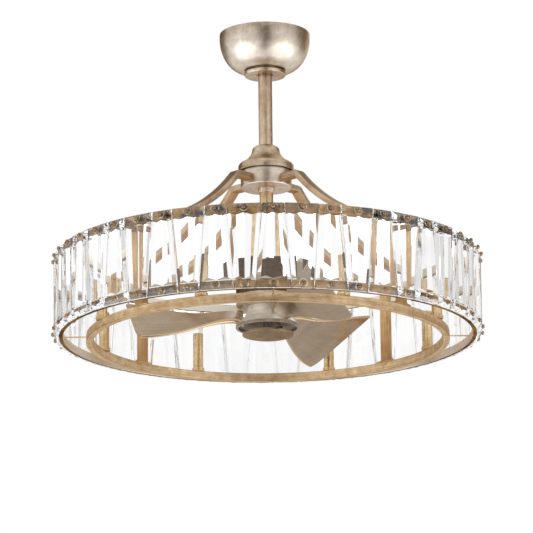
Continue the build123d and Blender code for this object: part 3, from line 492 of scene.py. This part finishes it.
def arm(number, angle):
    build = bmesh.new()
    layer = build.loops.layers.uv.new("grain")
    section = rounded_bar(arm_width, arm_thickness, arm_edge)
    round_way, way = [0.0], number
    for first, second in zip(section, section[1:] + section[:1]):
        round_way.append(round_way[-1] + math.dist(first, second) * mm)
    line = arm_line()
    rings = []
    for before, (out, up, slope) in zip(line[:1] + line, line):
        way += math.dist(before[:2], (out, up)) * mm
        verts = [build.verts.new((mm * (out + through * math.sin(slope)), mm * across,
                                  mm * (up + through * math.cos(slope)))) for across, through in section]
        rings.append([(vert, way, v) for vert, v in zip(verts + verts[:1], round_way)])
    skin(build, layer, rings)
    for ring in (rings[0], rings[-1]):
        build.faces.new([corner[0] for corner in ring[:-1]])
    size = Vector(foot_size) * mm
    middle = Matrix.Translation((leg_radius * mm, 0, foot_bottom * mm + size.z / 2))
    plate = bmesh.ops.create_cube(build, size=1.0, matrix=middle @ Matrix.Diagonal((*size, 1)))
    edges = list({edge for vert in plate["verts"] for edge in vert.link_edges})
    bevelled = bmesh.ops.bevel(build, geom=edges, offset=foot_edge * mm, segments=2, affect="EDGES", profile=0.6)
    for face in {face for vert in bevelled["verts"] for face in vert.link_faces}:
        for loop in face.loops:
            loop[layer].uv = (loop.vert.co.y + number, loop.vert.co.x)
    bmesh.ops.rotate(build, verts=build.verts, matrix=Matrix.Rotation(math.radians(angle), 3, "Z"))
    made = as_piece("arm_" + str(number), build, arm_leaf)
    # How far each point's surface looks up, which steers the arms' painted light and shade
    upward = made.data.attributes.new("upward", "FLOAT", "POINT")
    upward.data.foreach_set("value", [vertex.normal.z for vertex in made.data.vertices])
    return made


for number in range(1, 5):
    place_piece(arm(number, 90 * number - 45), "fixture", "arm_" + str(number))

# Bolts of the arms in the hub, and screws of the feet on the ring. Round heads, turned and plated, the foot
# screws in satin gold.
screw_gold = leaf_finish(
    "satin_gold", (0.15, 0.085, 0.04), (0.42, 0.30, 0.17), "up", fine=600, long=300, leaf=260, roughness=(0.24, 0.38),
    streak_share=0.5, depth=0.00002)

# Copies of a piece round the fan's axis, at even steps from a first angle
axis_copies = bpy.data.node_groups.new("copies_round_the_axis", "GeometryNodeTree")
for name, kind in (
        ("Piece", "Geometry"), ("Count", "Int"), ("First angle", "Float"), ("Step", "Float"), ("Finish", "Material")):
    axis_copies.interface.new_socket(name, in_out="INPUT", socket_type="NodeSocket" + kind)
axis_copies.interface.new_socket("Pieces", in_out="OUTPUT", socket_type="NodeSocketGeometry")
given = axis_copies.nodes.new("NodeGroupInput").outputs
number = add(axis_copies, "GeometryNodeInputIndex").outputs[0]
turn = add(axis_copies, "Math", {"operation": "MULTIPLY_ADD"}, {0: number, 1: given["Step"], 2: given["First angle"]})
whole = add(axis_copies, "CombineXYZ", None, {2: turn.outputs[0]})
points = add(axis_copies, "GeometryNodePoints", None, {"Count": given["Count"]})
copies = add(axis_copies, "GeometryNodeInstanceOnPoints", None, {
    "Points": points.outputs[0], "Instance": given["Piece"], "Rotation": whole.outputs[0]})
solid = add(axis_copies, "GeometryNodeRealizeInstances", None, {0: copies.outputs[0]})
coat = add(axis_copies, "GeometryNodeSetMaterial", None, {"Geometry": solid.outputs[0], "Material": given["Finish"]})
axis_copies.links.new(coat.outputs[0], axis_copies.nodes.new("NodeGroupOutput").inputs[0])


def made_plain(piece):
    bpy.context.view_layer.update()
    graph = bpy.context.evaluated_depsgraph_get()
    mesh = bpy.data.meshes.new_from_object(
        piece.evaluated_get(graph), preserve_all_data_layers=True, depsgraph=graph)
    piece.modifiers.clear()
    piece.data = mesh
    return piece


def copied(piece, node, count, first=0.0):
    """A piece of the fixture repeated round the axis as one plain mesh, in place of a CAD node."""
    modifier = piece.modifiers.new("copies", "NODES")
    modifier.node_group = axis_copies
    values = {"Count": count, "First angle": math.radians(first), "Step": math.radians(360 / count),
              "Finish": piece.data.materials[0]}
    for item in axis_copies.interface.items_tree:
        if item.name in values:
            modifier[item.identifier] = values[item.name]
    place_piece(made_plain(piece), "fixture", node)


seat, tip, side, shank, head, crown = -595.0, -606.0, 14.5, 2.0, 3.4, 2.2
corners = [(0, seat + crown, 0), (head * 0.72, seat + crown, crown * 0.35), (head, seat + crown * 0.45, crown * 0.3),
           (head, seat, 0.15), (shank, seat, 0), (shank, tip, 0.3), (0, tip, 0)]
build = bmesh.new()
for way in (-side, side):
    spin_into(build, softened(corners, 2), 20, Matrix.Translation((leg_radius * mm, way * mm, 0)))
copied(as_piece("foot_screws", build, screw_gold), "foot_screws", 4, 45)
dress(("arm_bolts",), zinc)

# Inner ring. One square bar, rolled into a hoop and welded. It carries the arms' feet and the lamps, and its
# gold leaf is brushed along the hoop.
ring_outer, ring_inner, ring_bottom, ring_top, hoop_steps = 345.5, 332.5, -614.0, -598.0, 288
ring_leaf = leaf_finish(
    "gold_leaf_ring", (0.50, 0.31, 0.145), (0.97, 0.77, 0.51), fine=1100, long=12, leaf=320, roughness=(0.27, 0.40),
    streak_share=0.65, depth=0.00005, contrast=0.2, metal=0.85)
corner_start, corner_full, corner_share, corner_brown = 0.84, 0.97, 0.85, (0.20, 0.10, 0.04)
# Darker brown along the four corners of the bar
tree = ring_leaf.node_tree
_, part, radius = place_parts(tree)
nearness = []
for value, low, high in ((radius, ring_inner, ring_outer), (part[2], ring_bottom, ring_top)):
    off_centre = sums(tree, "ABSOLUTE", sums(tree, "SUBTRACT", value, (low + high) / 2 * mm))
    nearness.append(sums(tree, "DIVIDE", off_centre, (high - low) / 2 * mm))
corner = spread(tree, sums(tree, "MINIMUM", *nearness), corner_start, corner_full, 0.0, corner_share)
overpaint(ring_leaf, corner, corner_brown)


def hoop(name, outer, inner, bottom, top, edge, finish):
    corners = [(outer, top, edge), (outer, bottom, edge), (inner, bottom, edge), (inner, top, edge)]
    turned(name, "fixture", corners, finish, hoop_steps)


hoop("inner_ring", ring_outer, ring_inner, ring_bottom, ring_top, 1.0, ring_leaf)

# Bands of the drum. Two thin hoops that the crystals are screwed to, darker than the ring, with their inner face
# painted pale as painted light.
band_outer, band_inner, band_height = 397.0, 389.5, 16.0
drum_bottom, drum_top = -603.1, -445.1
inside_light_start, inside_light_full, inside_painted_light = 0.7, 0.3, (0.80, 0.74, 0.65)
band_leaf = leaf_finish(
    "bronzed_band", (0.016, 0.006, 0.001), (0.40, 0.225, 0.07), fine=700, long=5, leaf=48, streak_share=0.3,
    depth=0.00012, contrast=0.10)
tree = band_leaf.node_tree
_, _, radius = place_parts(tree)
# Painted light: the band's inner face is painted pale
overpaint(band_leaf, spread(tree, radius, (band_inner + inside_light_start) * mm, (band_inner + inside_light_full) * mm), inside_painted_light)
for name, bottom in (("lower_band", drum_bottom), ("upper_band", drum_top - band_height)):
    hoop(name, band_outer, band_inner, bottom, bottom + band_height, 0.8, band_leaf)

# Crystals. 48 tapered bars of clear lead glass, every other one upside down, bevelled on all four sides in front
# and cut into shallow facets behind, with a drilled hole near each end. A pale ring round each hole is a painted
# glint.
crystal_count, crystal_back, crystal_thickness, crystal_edge = 48, 397.2, 10.0, 4.5
crystal_bevel, crystal_chamfer = 7.0, 0.35
crystal_wide, crystal_narrow, crystal_hole = 63.9, 38.3, 2.2
cut_depth, cut_margin, cut_slope = 1.6, 17.0, 5.0
cut_across = (0.0, 0.25, 0.5, 0.75, 1.0)
screw_heights = (-595.1, -453.1)
glint_radius, glint_start, glint_full, glint_front, glint_breakup = 7.4, 1.0, 0.4, 6.0, 110.0
facet_angle, drill_reach = math.radians(12), 20
glass_index, clear_after = 1.54, 5.5
cloud_scale, polish_scale, polish_depth = 18.0, 60.0, 0.00001


def glint_rings(tree):
    """Share of the painted glint rings, on the front of the crystals alone."""
    place, part, radius = place_parts(tree)
    turn = sums(tree, "PINGPONG", sums(tree, "ARCTAN2", part[1], part[0]), math.radians(180 / crystal_count))
    middle, reach = sum(screw_heights) / 2 * mm, (screw_heights[1] - screw_heights[0]) / 2 * mm
    up = sums(tree, "SUBTRACT", sums(tree, "ABSOLUTE", sums(tree, "SUBTRACT", part[2], middle)), reach)
    squares = [sums(tree, "POWER", way, 2.0) for way in (sums(tree, "MULTIPLY", turn, radius), up)]
    away = sums(tree, "SQRT", sums(tree, "ADD", *squares))
    off_ring = sums(tree, "ABSOLUTE", sums(tree, "SUBTRACT", away, glint_radius * mm))
    line = spread(tree, off_ring, glint_start * mm, glint_full * mm)
    broken_up = spread(tree, noise_at(tree, place, glint_breakup, 1.0), 0.42, 0.60, 0.08, 0.80)
    in_front = sums(tree, "GREATER_THAN", radius, (crystal_back + glint_front) * mm)
    return sums(tree, "MULTIPLY", sums(tree, "MULTIPLY", line, broken_up), in_front)


# The glass lets the lamps' light through, and has the faint cloud and polish marks of cut crystal. A ray that has
# turned often enough passes on as through clear air.
crystal_glass, tree, shader = new_finish("cut_crystal")
place = add(tree, "TexCoord").outputs["Object"]
cloud = noise_at(tree, place, cloud_scale, 2.0)
tree.links.new(blend_colours(tree, spread(tree, cloud, 0.35, 0.65), (0.955, 0.962, 0.97), (0.995, 0.995, 0.99)),
               shader.inputs["Base Color"])
tree.links.new(spread(tree, cloud, 0.4, 0.7, 0.0, 0.03), shader.inputs["Roughness"])
shader.inputs["Transmission Weight"].default_value = 1
shader.inputs["IOR"].default_value = glass_index
bumped(tree, shader, noise_at(tree, place, polish_scale, 1.0), polish_depth)
ray = add(tree, "LightPath").outputs
trapped = sums(tree, "GREATER_THAN", ray["Ray Depth"], clear_after)
lay_over(tree, sums(tree, "MAXIMUM", ray["Is Shadow Ray"], trapped),
         add(tree, "BsdfTransparent", None, {"Color": (0.93, 0.93, 0.93, 1)}))
# Painted glint: a pale, broken ring round each screw hole on the crystals' front
lay_over(tree, glint_rings(tree), add(tree, "BsdfDiffuse", None, {"Color": (0.98, 0.93, 0.85, 1)}))


def crystal_outline(low_width, high_width, inset, corner):
    """Corners of the crystal's face as (across, up), drawn in by an inset, each corner cut off."""
    low, high = drum_bottom + inset, drum_top - inset
    low_half, high_half = low_width / 2 - inset, high_width / 2 - inset
    square = [(low_half, low), (high_half, high), (-high_half, high), (-low_half, low)]
    points = []
    for k, (y, z) in enumerate(square):
        for other in (square[k - 1], square[(k + 1) % 4]):
            reach = corner / math.dist((y, z), other)
            points.append((y + (other[0] - y) * reach, z + (other[1] - z) * reach))
    return points


def outward(height, out=0.0):
    """Lays an upright turning on its side, so that it points away from the axis."""
    return Matrix.Translation((out * mm, 0, height * mm)) @ Matrix.Rotation(math.pi / 2, 4, "Y")


def crystal(name, low_width, high_width):
    build = bmesh.new()
    c = crystal_chamfer
    front = crystal_back + crystal_thickness
    layers = ((crystal_back, c, 0.5), (crystal_back + c, 0, 0.8), (crystal_back + crystal_edge - c, 0, 0.8),
              (crystal_back + crystal_edge + c * 0.4, c * 0.8, 0.8), (front - c * 0.5, crystal_bevel - c * 0.4, 0.5),
              (front, crystal_bevel + c * 0.5, 0.4))
    rings = []
    for out, inset, corner in layers:
        rings.append([build.verts.new((out * mm, y * mm, z * mm))
                      for y, z in crystal_outline(low_width, high_width, inset, corner)])
    back = rings[0]

    def level(share, z, out):
        """A point of the back at a height, from its left side (0) to its right (1)."""
        low, high = back[0].co, back[3].co
        half = low.y + (high.y - low.y) * (z * mm - low.z) / (high.z - low.z)
        return build.verts.new((out * mm, half * (2 * share - 1), z * mm))

    low_cut, high_cut = drum_bottom + cut_margin, drum_top - cut_margin
    low_row = [level(share, low_cut, crystal_back) for share in cut_across]
    high_row = [level(share, high_cut, crystal_back) for share in cut_across]
    for k in (1, 3):
        low_deep = level(cut_across[k], low_cut + cut_slope, crystal_back + cut_depth)
        high_deep = level(cut_across[k], high_cut - cut_slope, crystal_back + cut_depth)
        for other in (k - 1, k + 1):
            build.faces.new((low_row[other], low_row[k], low_deep))
            build.faces.new((high_row[other], high_row[k], high_deep))
            build.faces.new((low_row[other], low_deep, high_deep, high_row[other]))
    for k in range(8):
        extra = {1: [low_row[-1], high_row[-1]], 5: [high_row[0], low_row[0]]}.get(k, [])
        after = (k + 1) % 8
        build.faces.new([back[k], *extra, back[after], rings[1][after], rings[1][k]])
        for first, second in zip(rings[1:], rings[2:]):
            build.faces.new((first[k], first[after], second[after], second[k]))
    build.faces.new([back[6], back[7], back[0], back[1], *low_row[::-1]])
    build.faces.new([back[2], back[3], back[4], back[5], *high_row])
    build.faces.new(rings[-1])
    bar = as_piece(name, build, crystal_glass)
    drill = bmesh.new()
    drill_corners = [(0, -drill_reach), (crystal_hole, -drill_reach), (crystal_hole, drill_reach), (0, drill_reach)]
    for z in screw_heights:
        spin_into(drill, drill_corners, 16, outward(z, crystal_back))
    drill = as_piece("drill", drill, crystal_glass)
    cut = bar.modifiers.new("holes", "BOOLEAN")
    cut.operation = "DIFFERENCE"
    cut.object = drill
    made_plain(bar)
    bpy.data.objects.remove(drill)
    bar.data.shade_smooth()
    bar.data.set_sharp_from_angle(angle=facet_angle)
    return bar


for name, low_width, high_width, first in (
        ("crystals_wide_top", crystal_narrow, crystal_wide, 360 / crystal_count),
        ("crystals_wide_bottom", crystal_wide, crystal_narrow, 0.0)):
    copied(crystal(name, low_width, high_width), name, crystal_count // 2, first)

# Crystal screws. One through each hole into the band, with a tall round head, satin gold.
shank, head, head_top, screw_start = 2.0, 4.2, 412.2, 391.0
seat = crystal_back + crystal_thickness
screw_corners = [(0, head_top, 0), (head * 0.62, head_top, 1.1), (head, head_top - 2.2, 1.2), (head, seat, 0.3),
                 (shank, seat, 0), (shank, screw_start, 0.3), (0, screw_start, 0)]
for name, height in zip(("lower_crystal_screws", "upper_crystal_screws"), screw_heights):
    copied(spun(name, screw_corners, screw_gold, 18, 2, outward(height)), name, crystal_count)

# Rods of the drum. Thin ones join the ring to the lower band, thick ones the arms to the upper band. Both
# are plain bar with collared ends, leafed like the ring.
ring_rod, ring_rod_collar, ring_rod_height, ring_rod_reach = 1.5, 2.1, -600.55, (342.5, 392.5)
top_rod, top_rod_collar, top_rod_height, top_rod_reach = 5.0, 5.8, -453.1, (345.0, 389.5)
for name, radius, collar, height, (start, end), first in (
        ("ring_rods", ring_rod, ring_rod_collar, ring_rod_height, ring_rod_reach, 0),
        ("top_rods", top_rod, top_rod_collar, top_rod_height, top_rod_reach, 45)):
    corners = [(0, end, 0), (collar, end, 0.2), (collar, end - collar, 0.3), (radius, end - collar, 0.2),
               (radius, start + collar, 0.2), (collar, start + collar, 0.3), (collar, start, 0.2), (0, start, 0)]
    copied(spun(name, corners, ring_leaf, 20, 2, outward(height)), name, 4, first)

# Lamps. Eight candle sleeves of thin tube in turned cups on the ring, each round a lampholder on a threaded
# nipple. The sleeves' leaf is brushed upwards.
sleeve_leaf = leaf_finish(
    "gold_leaf_sleeve", (0.50, 0.31, 0.13), (1.0, 0.80, 0.51), "up", fine=650, long=16, leaf=90,
    roughness=(0.22, 0.34), streak_share=0.65, depth=0.00008, contrast=0.2, metal=0.9)
holder_black = plain_finish(
    "holder_phenolic", (0.010, 0.009, 0.008), (0.03, 0.027, 0.024), 500, 0, (0.35, 0.5), 0.00005)
lamp_count, first_lamp = 8, 22.5
cup_corners = [(0, -598, 0), (12, -598, 0.5), (12, -592, 0.9), (10.1, -592, 0.3), (10.1, -596.5, 0.3), (0, -596.5, 0)]
sleeve_corners = [(10, -596.5, 0.2), (10, -522, 0.35), (9.2, -522, 0.35), (9.2, -596.5, 0.2)]
holder_corners = [(0, -595, 0), (5.5, -595, 0.4), (5.5, -560, 0.3), (8.8, -560, 1.2), (8.8, -524, 1.0),
                  (5.95, -524, 0.6), (5.95, -546, 0.3), (0, -546, 0)]
for name, slot, finish, corners in (
        ("lamp_cups", "gold_leaf", sleeve_leaf, cup_corners),
        ("lamp_sleeves", "gold_leaf", sleeve_leaf, sleeve_corners),
        ("lampholders", "holder_plastic", holder_black, holder_corners)):
    piece = spun(name, corners, finish, 40, 3, Matrix.Translation((leg_radius * mm, 0, 0)))
    copied(piece, name, lamp_count, first_lamp)

# Stem. Pipe from the hub's floor down to the motor, with a turned collar under the hub.
stem_radius, stem_bore, stem_top, stem_bottom = 13.0, 10.5, -292.0, -455.0
collar_radius, collar_top, collar_bottom = 16.0, -309.0, -318.0
stem_leaf = leaf_finish(
    "gold_leaf_stem", (0.52, 0.34, 0.18), (1.0, 0.80, 0.53), "up", long=26, leaf=95, roughness=(0.32, 0.46),
    streak_share=0.55, depth=0.0001)
turned("motor_stem", "fixture", [
    (stem_radius, stem_top, 0.5), (stem_radius, stem_bottom, 0.5), (stem_bore, stem_bottom, 0.4),
    (stem_bore, stem_top, 0.4)], stem_leaf, 64)
turned("stem_collar", "fixture", [
    (collar_radius, collar_top, 0.6), (collar_radius, collar_bottom, 1.6), (stem_radius + 0.05, collar_bottom, 0.4),
    (stem_radius + 0.05, collar_top, 0.2)], hub_leaf, 72)

# Motor. Two drawn steel shells that meet at a bead round the middle and turn on the fixed shaft, painted
# dark bronze. Inside are the laminated core, its copper windings, the magnets and two bearings.
motor_radius, motor_top, motor_seam, motor_bottom, motor_wall, motor_end = 60.0, -458.0, -501.0, -544.0, 3.0, 4.0
shaft_hole, bearing_radius, boss_radius, boss_depth = 10.5, 17.55, 21.0, 14.0
bronze = leaf_finish(
    "bronze_paint", (0.070, 0.040, 0.024), (0.150, 0.092, 0.058), fine=800, long=12, leaf=120, roughness=(0.3, 0.45),
    depth=0.00005, metal=0.8, below=(-0.5235, -0.5245, (0.46, 0.38, 0.29), (0.74, 0.66, 0.55)))
for name, end, up in (("motor_shell_upper", motor_top, 1), ("motor_shell_lower", motor_bottom, -1)):
    inner_end, boss_end, inner_radius = end - up * motor_end, end - up * boss_depth, motor_radius - motor_wall
    turned(name, "rotor", [
        (motor_radius, motor_seam, 0.5), (motor_radius, end, 5.0), (shaft_hole, end, 0.8),
        (shaft_hole, inner_end, 0.3), (bearing_radius, inner_end, 0.3), (bearing_radius, boss_end, 0.3),
        (boss_radius, boss_end, 0.5), (boss_radius, inner_end, 1.0), (inner_radius, inner_end, 2.4),
        (inner_radius, motor_seam, 0.3)], bronze)
dress(("stator_core",), plain_finish(
    "laminations", (0.20, 0.20, 0.21), (0.34, 0.34, 0.36), 900, 1, (0.35, 0.5), 0.00005))
dress(("stator_windings",), plain_finish(
    "enamelled_copper", (0.30, 0.10, 0.03), (0.55, 0.24, 0.10), 1400, 1, (0.25, 0.4), 0.0002))
dress(("magnet_ring",), plain_finish(
    "sintered_magnet", (0.03, 0.03, 0.032), (0.07, 0.07, 0.075), 500, 0.6, (0.5, 0.65), 0.0001))
dress(("upper_bearing", "lower_bearing"), plain_finish(
    "bearing_steel", (0.55, 0.55, 0.56), (0.68, 0.68, 0.70), 300, 1, (0.12, 0.22), 0.00001))

# Blade hub. A turned flared casting under the motor that turns with it, pale outside, with painted shade within and
# under its rim. The three blades grow out of its waist, each held by a screw from inside.
# Painted shade: the rim's outer face and its underside turn a darker brown-grey
blade_hub_leaf = leaf_finish(
    "silver_leaf_blade_hub", (0.72, 0.65, 0.56), (1.0, 0.96, 0.89), fine=350, leaf=90, roughness=(0.3, 0.42),
    streak_share=0.3, metal=0.3, below=(-0.5785, -0.5798, (0.21, 0.16, 0.115), (0.38, 0.31, 0.24)))
# Painted shade: the inside is near black high up under the web and a lighter brown-grey lower down
hub_inside_shade = leaf_finish(
    "hub_inside_shade", (0.03, 0.024, 0.018), (0.06, 0.048, 0.038), fine=900, long=9, leaf=55, streak_share=0.5, metal=0.1,
    below=(-0.5605, -0.5655, (0.32, 0.245, 0.18), (0.54, 0.44, 0.34)))
hub_top_corner, hub_waist, hub_rim = (39.0, -544.0), (46.5, -565.3), (61.0, -579.0)
hub_lower, blade_hub_bore, blade_hub_wall, blade_hub_web = -585.0, 10.5, 5.0, -552.0


def through_three(first, middle, last, inset, steps=18):
    """Corners on the arc through three points, drawn in towards the axis by an inset."""
    a, b, c = complex(*first), complex(*middle), complex(*last)
    lean = (c - a) / (b - a)
    centre = a + (b - a) * (lean - abs(lean) ** 2) / (2j * lean.imag)
    sweep = cmath.phase((c - centre) / (a - centre))
    arc = [centre + (a - centre) * cmath.rect(1, sweep * k / steps) for k in range(steps + 1)]
    return [(point.real - inset, point.imag, 0) for point in arc]


outer_flare = through_three(hub_top_corner, hub_waist, hub_rim, 0)
inner_flare = [corner for corner in through_three(hub_top_corner, hub_waist, hub_rim, blade_hub_wall)
               if corner[1] < blade_hub_web]
blade_hub = turned("blade_hub", "rotor", [
    (blade_hub_bore, hub_top_corner[1], 0.3), *outer_flare, (hub_rim[0], hub_lower, 0.8),
    (hub_rim[0] - blade_hub_wall, hub_lower, 0.8), *inner_flare[::-1],
    (inner_flare[0][0], blade_hub_web, 0.3), (blade_hub_bore, blade_hub_web, 0.3)], blade_hub_leaf)
blade_hub.data.materials.append(hub_inside_shade)
# The inward faces and the web's underside take the painted shade finish
for face in blade_hub.data.polygons:
    inward = face.center.xy.dot(face.normal.xy) < -0.001
    if inward or (face.normal.z < -0.9 and face.center.z > hub_lower * mm + 0.001):
        face.material_index = 1

# Blades. Three twisted paddles, moulded and painted champagne with a silky grain along them, thin at the tip
# and thick at the root, where they pale into the hub's colour. The paint turns gold along the edges. Both
# faces and the rounded edges are one closed skin.
blade_reach, tip_low_radius, tip_high_radius = 284.0, 246.0, 275.0
low_chord, high_chord, blade_drop, low_clear, tip_thickness = 47.0, 79.0, 98.0, 3.0, 5.0
low_corner, high_corner, first_blade, grain_width = 20.0, 10.0, 58.4, 0.12
length_steps, width_steps = 56, 26
# Rows are radius, low edge across and down, high edge across and down, thickness
blade_shares = ((0.163, 0.20, 0.70, 0.16, 0.38, 3.0), (0.219, 0.28, 0.63, 0.22, 0.35, 2.5),
                (0.326, 0.42, 0.66, 0.34, 0.34, 1.7), (0.448, 0.60, 0.76, 0.46, 0.34, 1.2),
                (0.582, 0.76, 0.88, 0.62, 0.28, 1.0), (0.724, 0.88, 0.96, 0.79, 0.18, 1.0),
                (0.877, 0.93, 0.99, 0.91, 0.07, 1.0), (1.000, 0.93, 1.00, 1.00, 0.00, 1.0))
blade_start = blade_shares[0][0]
blade_paint = leaf_finish(
    "champagne_paint", (0.28, 0.21, 0.145), (0.49, 0.395, 0.30), "along", long=7, leaf=30,
    roughness=(0.20, 0.30), edge=(0.75, 0.66, 0.56), streak_share=0.45, depth=0.00002, contrast=0.3, metal=0.95)
root_start, root_full, root_pale = 0.085, 0.055, (0.86, 0.79, 0.69)
edge_start, edge_full, edge_gold = 0.0590, 0.0599, (0.58, 0.43, 0.27)
tree = blade_paint.node_tree
side = add(tree, "SeparateXYZ", None, {0: add(tree, "TexCoord").outputs["UV"]}).outputs[1]
off_middle = sums(tree, "ABSOLUTE", sums(tree, "SUBTRACT", side, grain_width / 2))
overpaint(blade_paint, spread(tree, place_parts(tree)[2], root_start, root_full), root_pale)
overpaint(blade_paint, spread(tree, off_middle, edge_start, edge_full), edge_gold)


def blade_row(reach):
    """Shares at any reach, on a smooth curve through the rows."""
    last_row = len(blade_shares) - 1
    k = max(i for i in range(last_row) if blade_shares[i][0] <= reach + 1e-9)
    before, first, last, after = (blade_shares[min(max(i, 0), last_row)] for i in range(k - 1, k + 3))
    width = last[0] - first[0]
    t = (reach - first[0]) / width
    values = []
    for a, b, c, d in list(zip(before, first, last, after))[1:]:
        rise = (c - a) / (last[0] - before[0]) * width
        fall = (d - b) / (after[0] - first[0]) * width
        values.append((2 * t ** 3 - 3 * t * t + 1) * b + (t ** 3 - 2 * t * t + t) * rise
                      + (3 * t * t - 2 * t ** 3) * c + (t ** 3 - t * t) * fall)
    return values


def blade_point(out, v):
    """The middle of the blade at a radius, from its low edge (v 0) to its high edge (v 1), and its thickness."""
    low_across, low_down, high_across, high_down, thick = blade_row(min(max(out / blade_reach, blade_start), 1.0))
    low = Vector((out, low_chord * low_across, ring_bottom + blade_drop * (1 - low_down) + low_clear))
    high = Vector((out, -high_chord * high_across, ring_bottom + blade_drop * (1 - high_down) + low_clear))
    along = (high - low).normalized()
    half = tip_thickness * thick / 2
    low, high = low + along * half, high - along * half
    return low.lerp(high, v), along, half


def tip_radius(y):
    """The radius at which the tip cuts the blade off, with its two rounded corners."""
    out = tip_low_radius + (low_chord - y) * (tip_high_radius - tip_low_radius) / (low_chord + high_chord)
    for corner, depth in ((low_corner, y - (low_chord - low_corner)), (high_corner, -high_chord + high_corner - y)):
        if depth > 0:
            out -= corner - math.sqrt(max(corner ** 2 - depth ** 2, 0))
    return out


def blade(number):
    build = bmesh.new()
    layer = build.loops.layers.uv.new("grain")
    start_out = blade_start * blade_reach
    rings = []
    for share in [k / length_steps for k in range(length_steps + 1)]:
        ring = []
        for side, edge_v in ((1, 1), (-1, 0)):
            for v in [k / width_steps for k in range(width_steps + 1)[::side]]:
                out = start_out
                for _ in range(7):
                    middle, along, half = blade_point(out, v)
                    tip_way = tip_radius(middle.y) - start_out
                    out = start_out + tip_way * share
                face_way = Vector((1, 0, 0)).cross(along) * side
                fade = min((1 - share) * tip_way / half, 1.0)
                lift = half * math.sqrt(1 - (1 - fade) ** 2)
                ring.append((middle + face_way * lift, v))
            for angle in (30, 60, 90, 120, 150):
                a = math.radians(angle)
                ring.append((middle + (face_way * math.cos(a) + along * side * math.sin(a)) * lift, edge_v))
        verts = [(build.verts.new(place * mm), v) for place, v in ring]
        rings.append([(vert, vert.co.x + number, v * grain_width) for vert, v in verts + verts[:1]])
    skin(build, layer, rings)
    build.faces.new([corner[0] for corner in rings[0][:-1]])
    bmesh.ops.remove_doubles(build, verts=build.verts, dist=0.00001)
    bmesh.ops.rotate(build, verts=build.verts,
                     matrix=Matrix.Rotation(math.radians(first_blade + 120 * (number - 1)), 3, "Z"))
    return as_piece("blade_" + str(number), build, blade_paint)


for number in range(1, 4):
    place_piece(blade(number), "rotor", "blade_" + str(number))

# Bottom cap. A spun dish on the end of the fixed shaft, clipped round the cap plate, with a gap above it
# where the blade hub turns.
cap_radius, cap_top, cap_side_end, cap_bottom, cap_wall = 48.5, -593.5, -598.5, -606.5, 1.5
cap_leaf = leaf_finish(
    "silver_leaf_cap", (0.24, 0.175, 0.115), (0.42, 0.335, 0.25), roughness=(0.28, 0.4))
dome_radius = (cap_radius ** 2 + (cap_side_end - cap_bottom) ** 2) / (2 * (cap_side_end - cap_bottom))


def dome(inset, steps=14):
    """Corners of the dome from its rim to the axis, drawn in by an inset."""
    radius = dome_radius - inset
    reach = math.asin((cap_radius - inset) / radius)
    angles = [reach * (1 - k / steps) for k in range(steps + 1)]
    return [(radius * math.sin(a), cap_bottom + dome_radius - radius * math.cos(a), 0) for a in angles]


turned("bottom_cap", "fixture", [
    (cap_radius, cap_top, 0.3), (cap_radius, cap_side_end, 0.8), *dome(0)[1:], *dome(cap_wall)[::-1],
    (cap_radius - cap_wall, cap_top, 0.3)], cap_leaf)
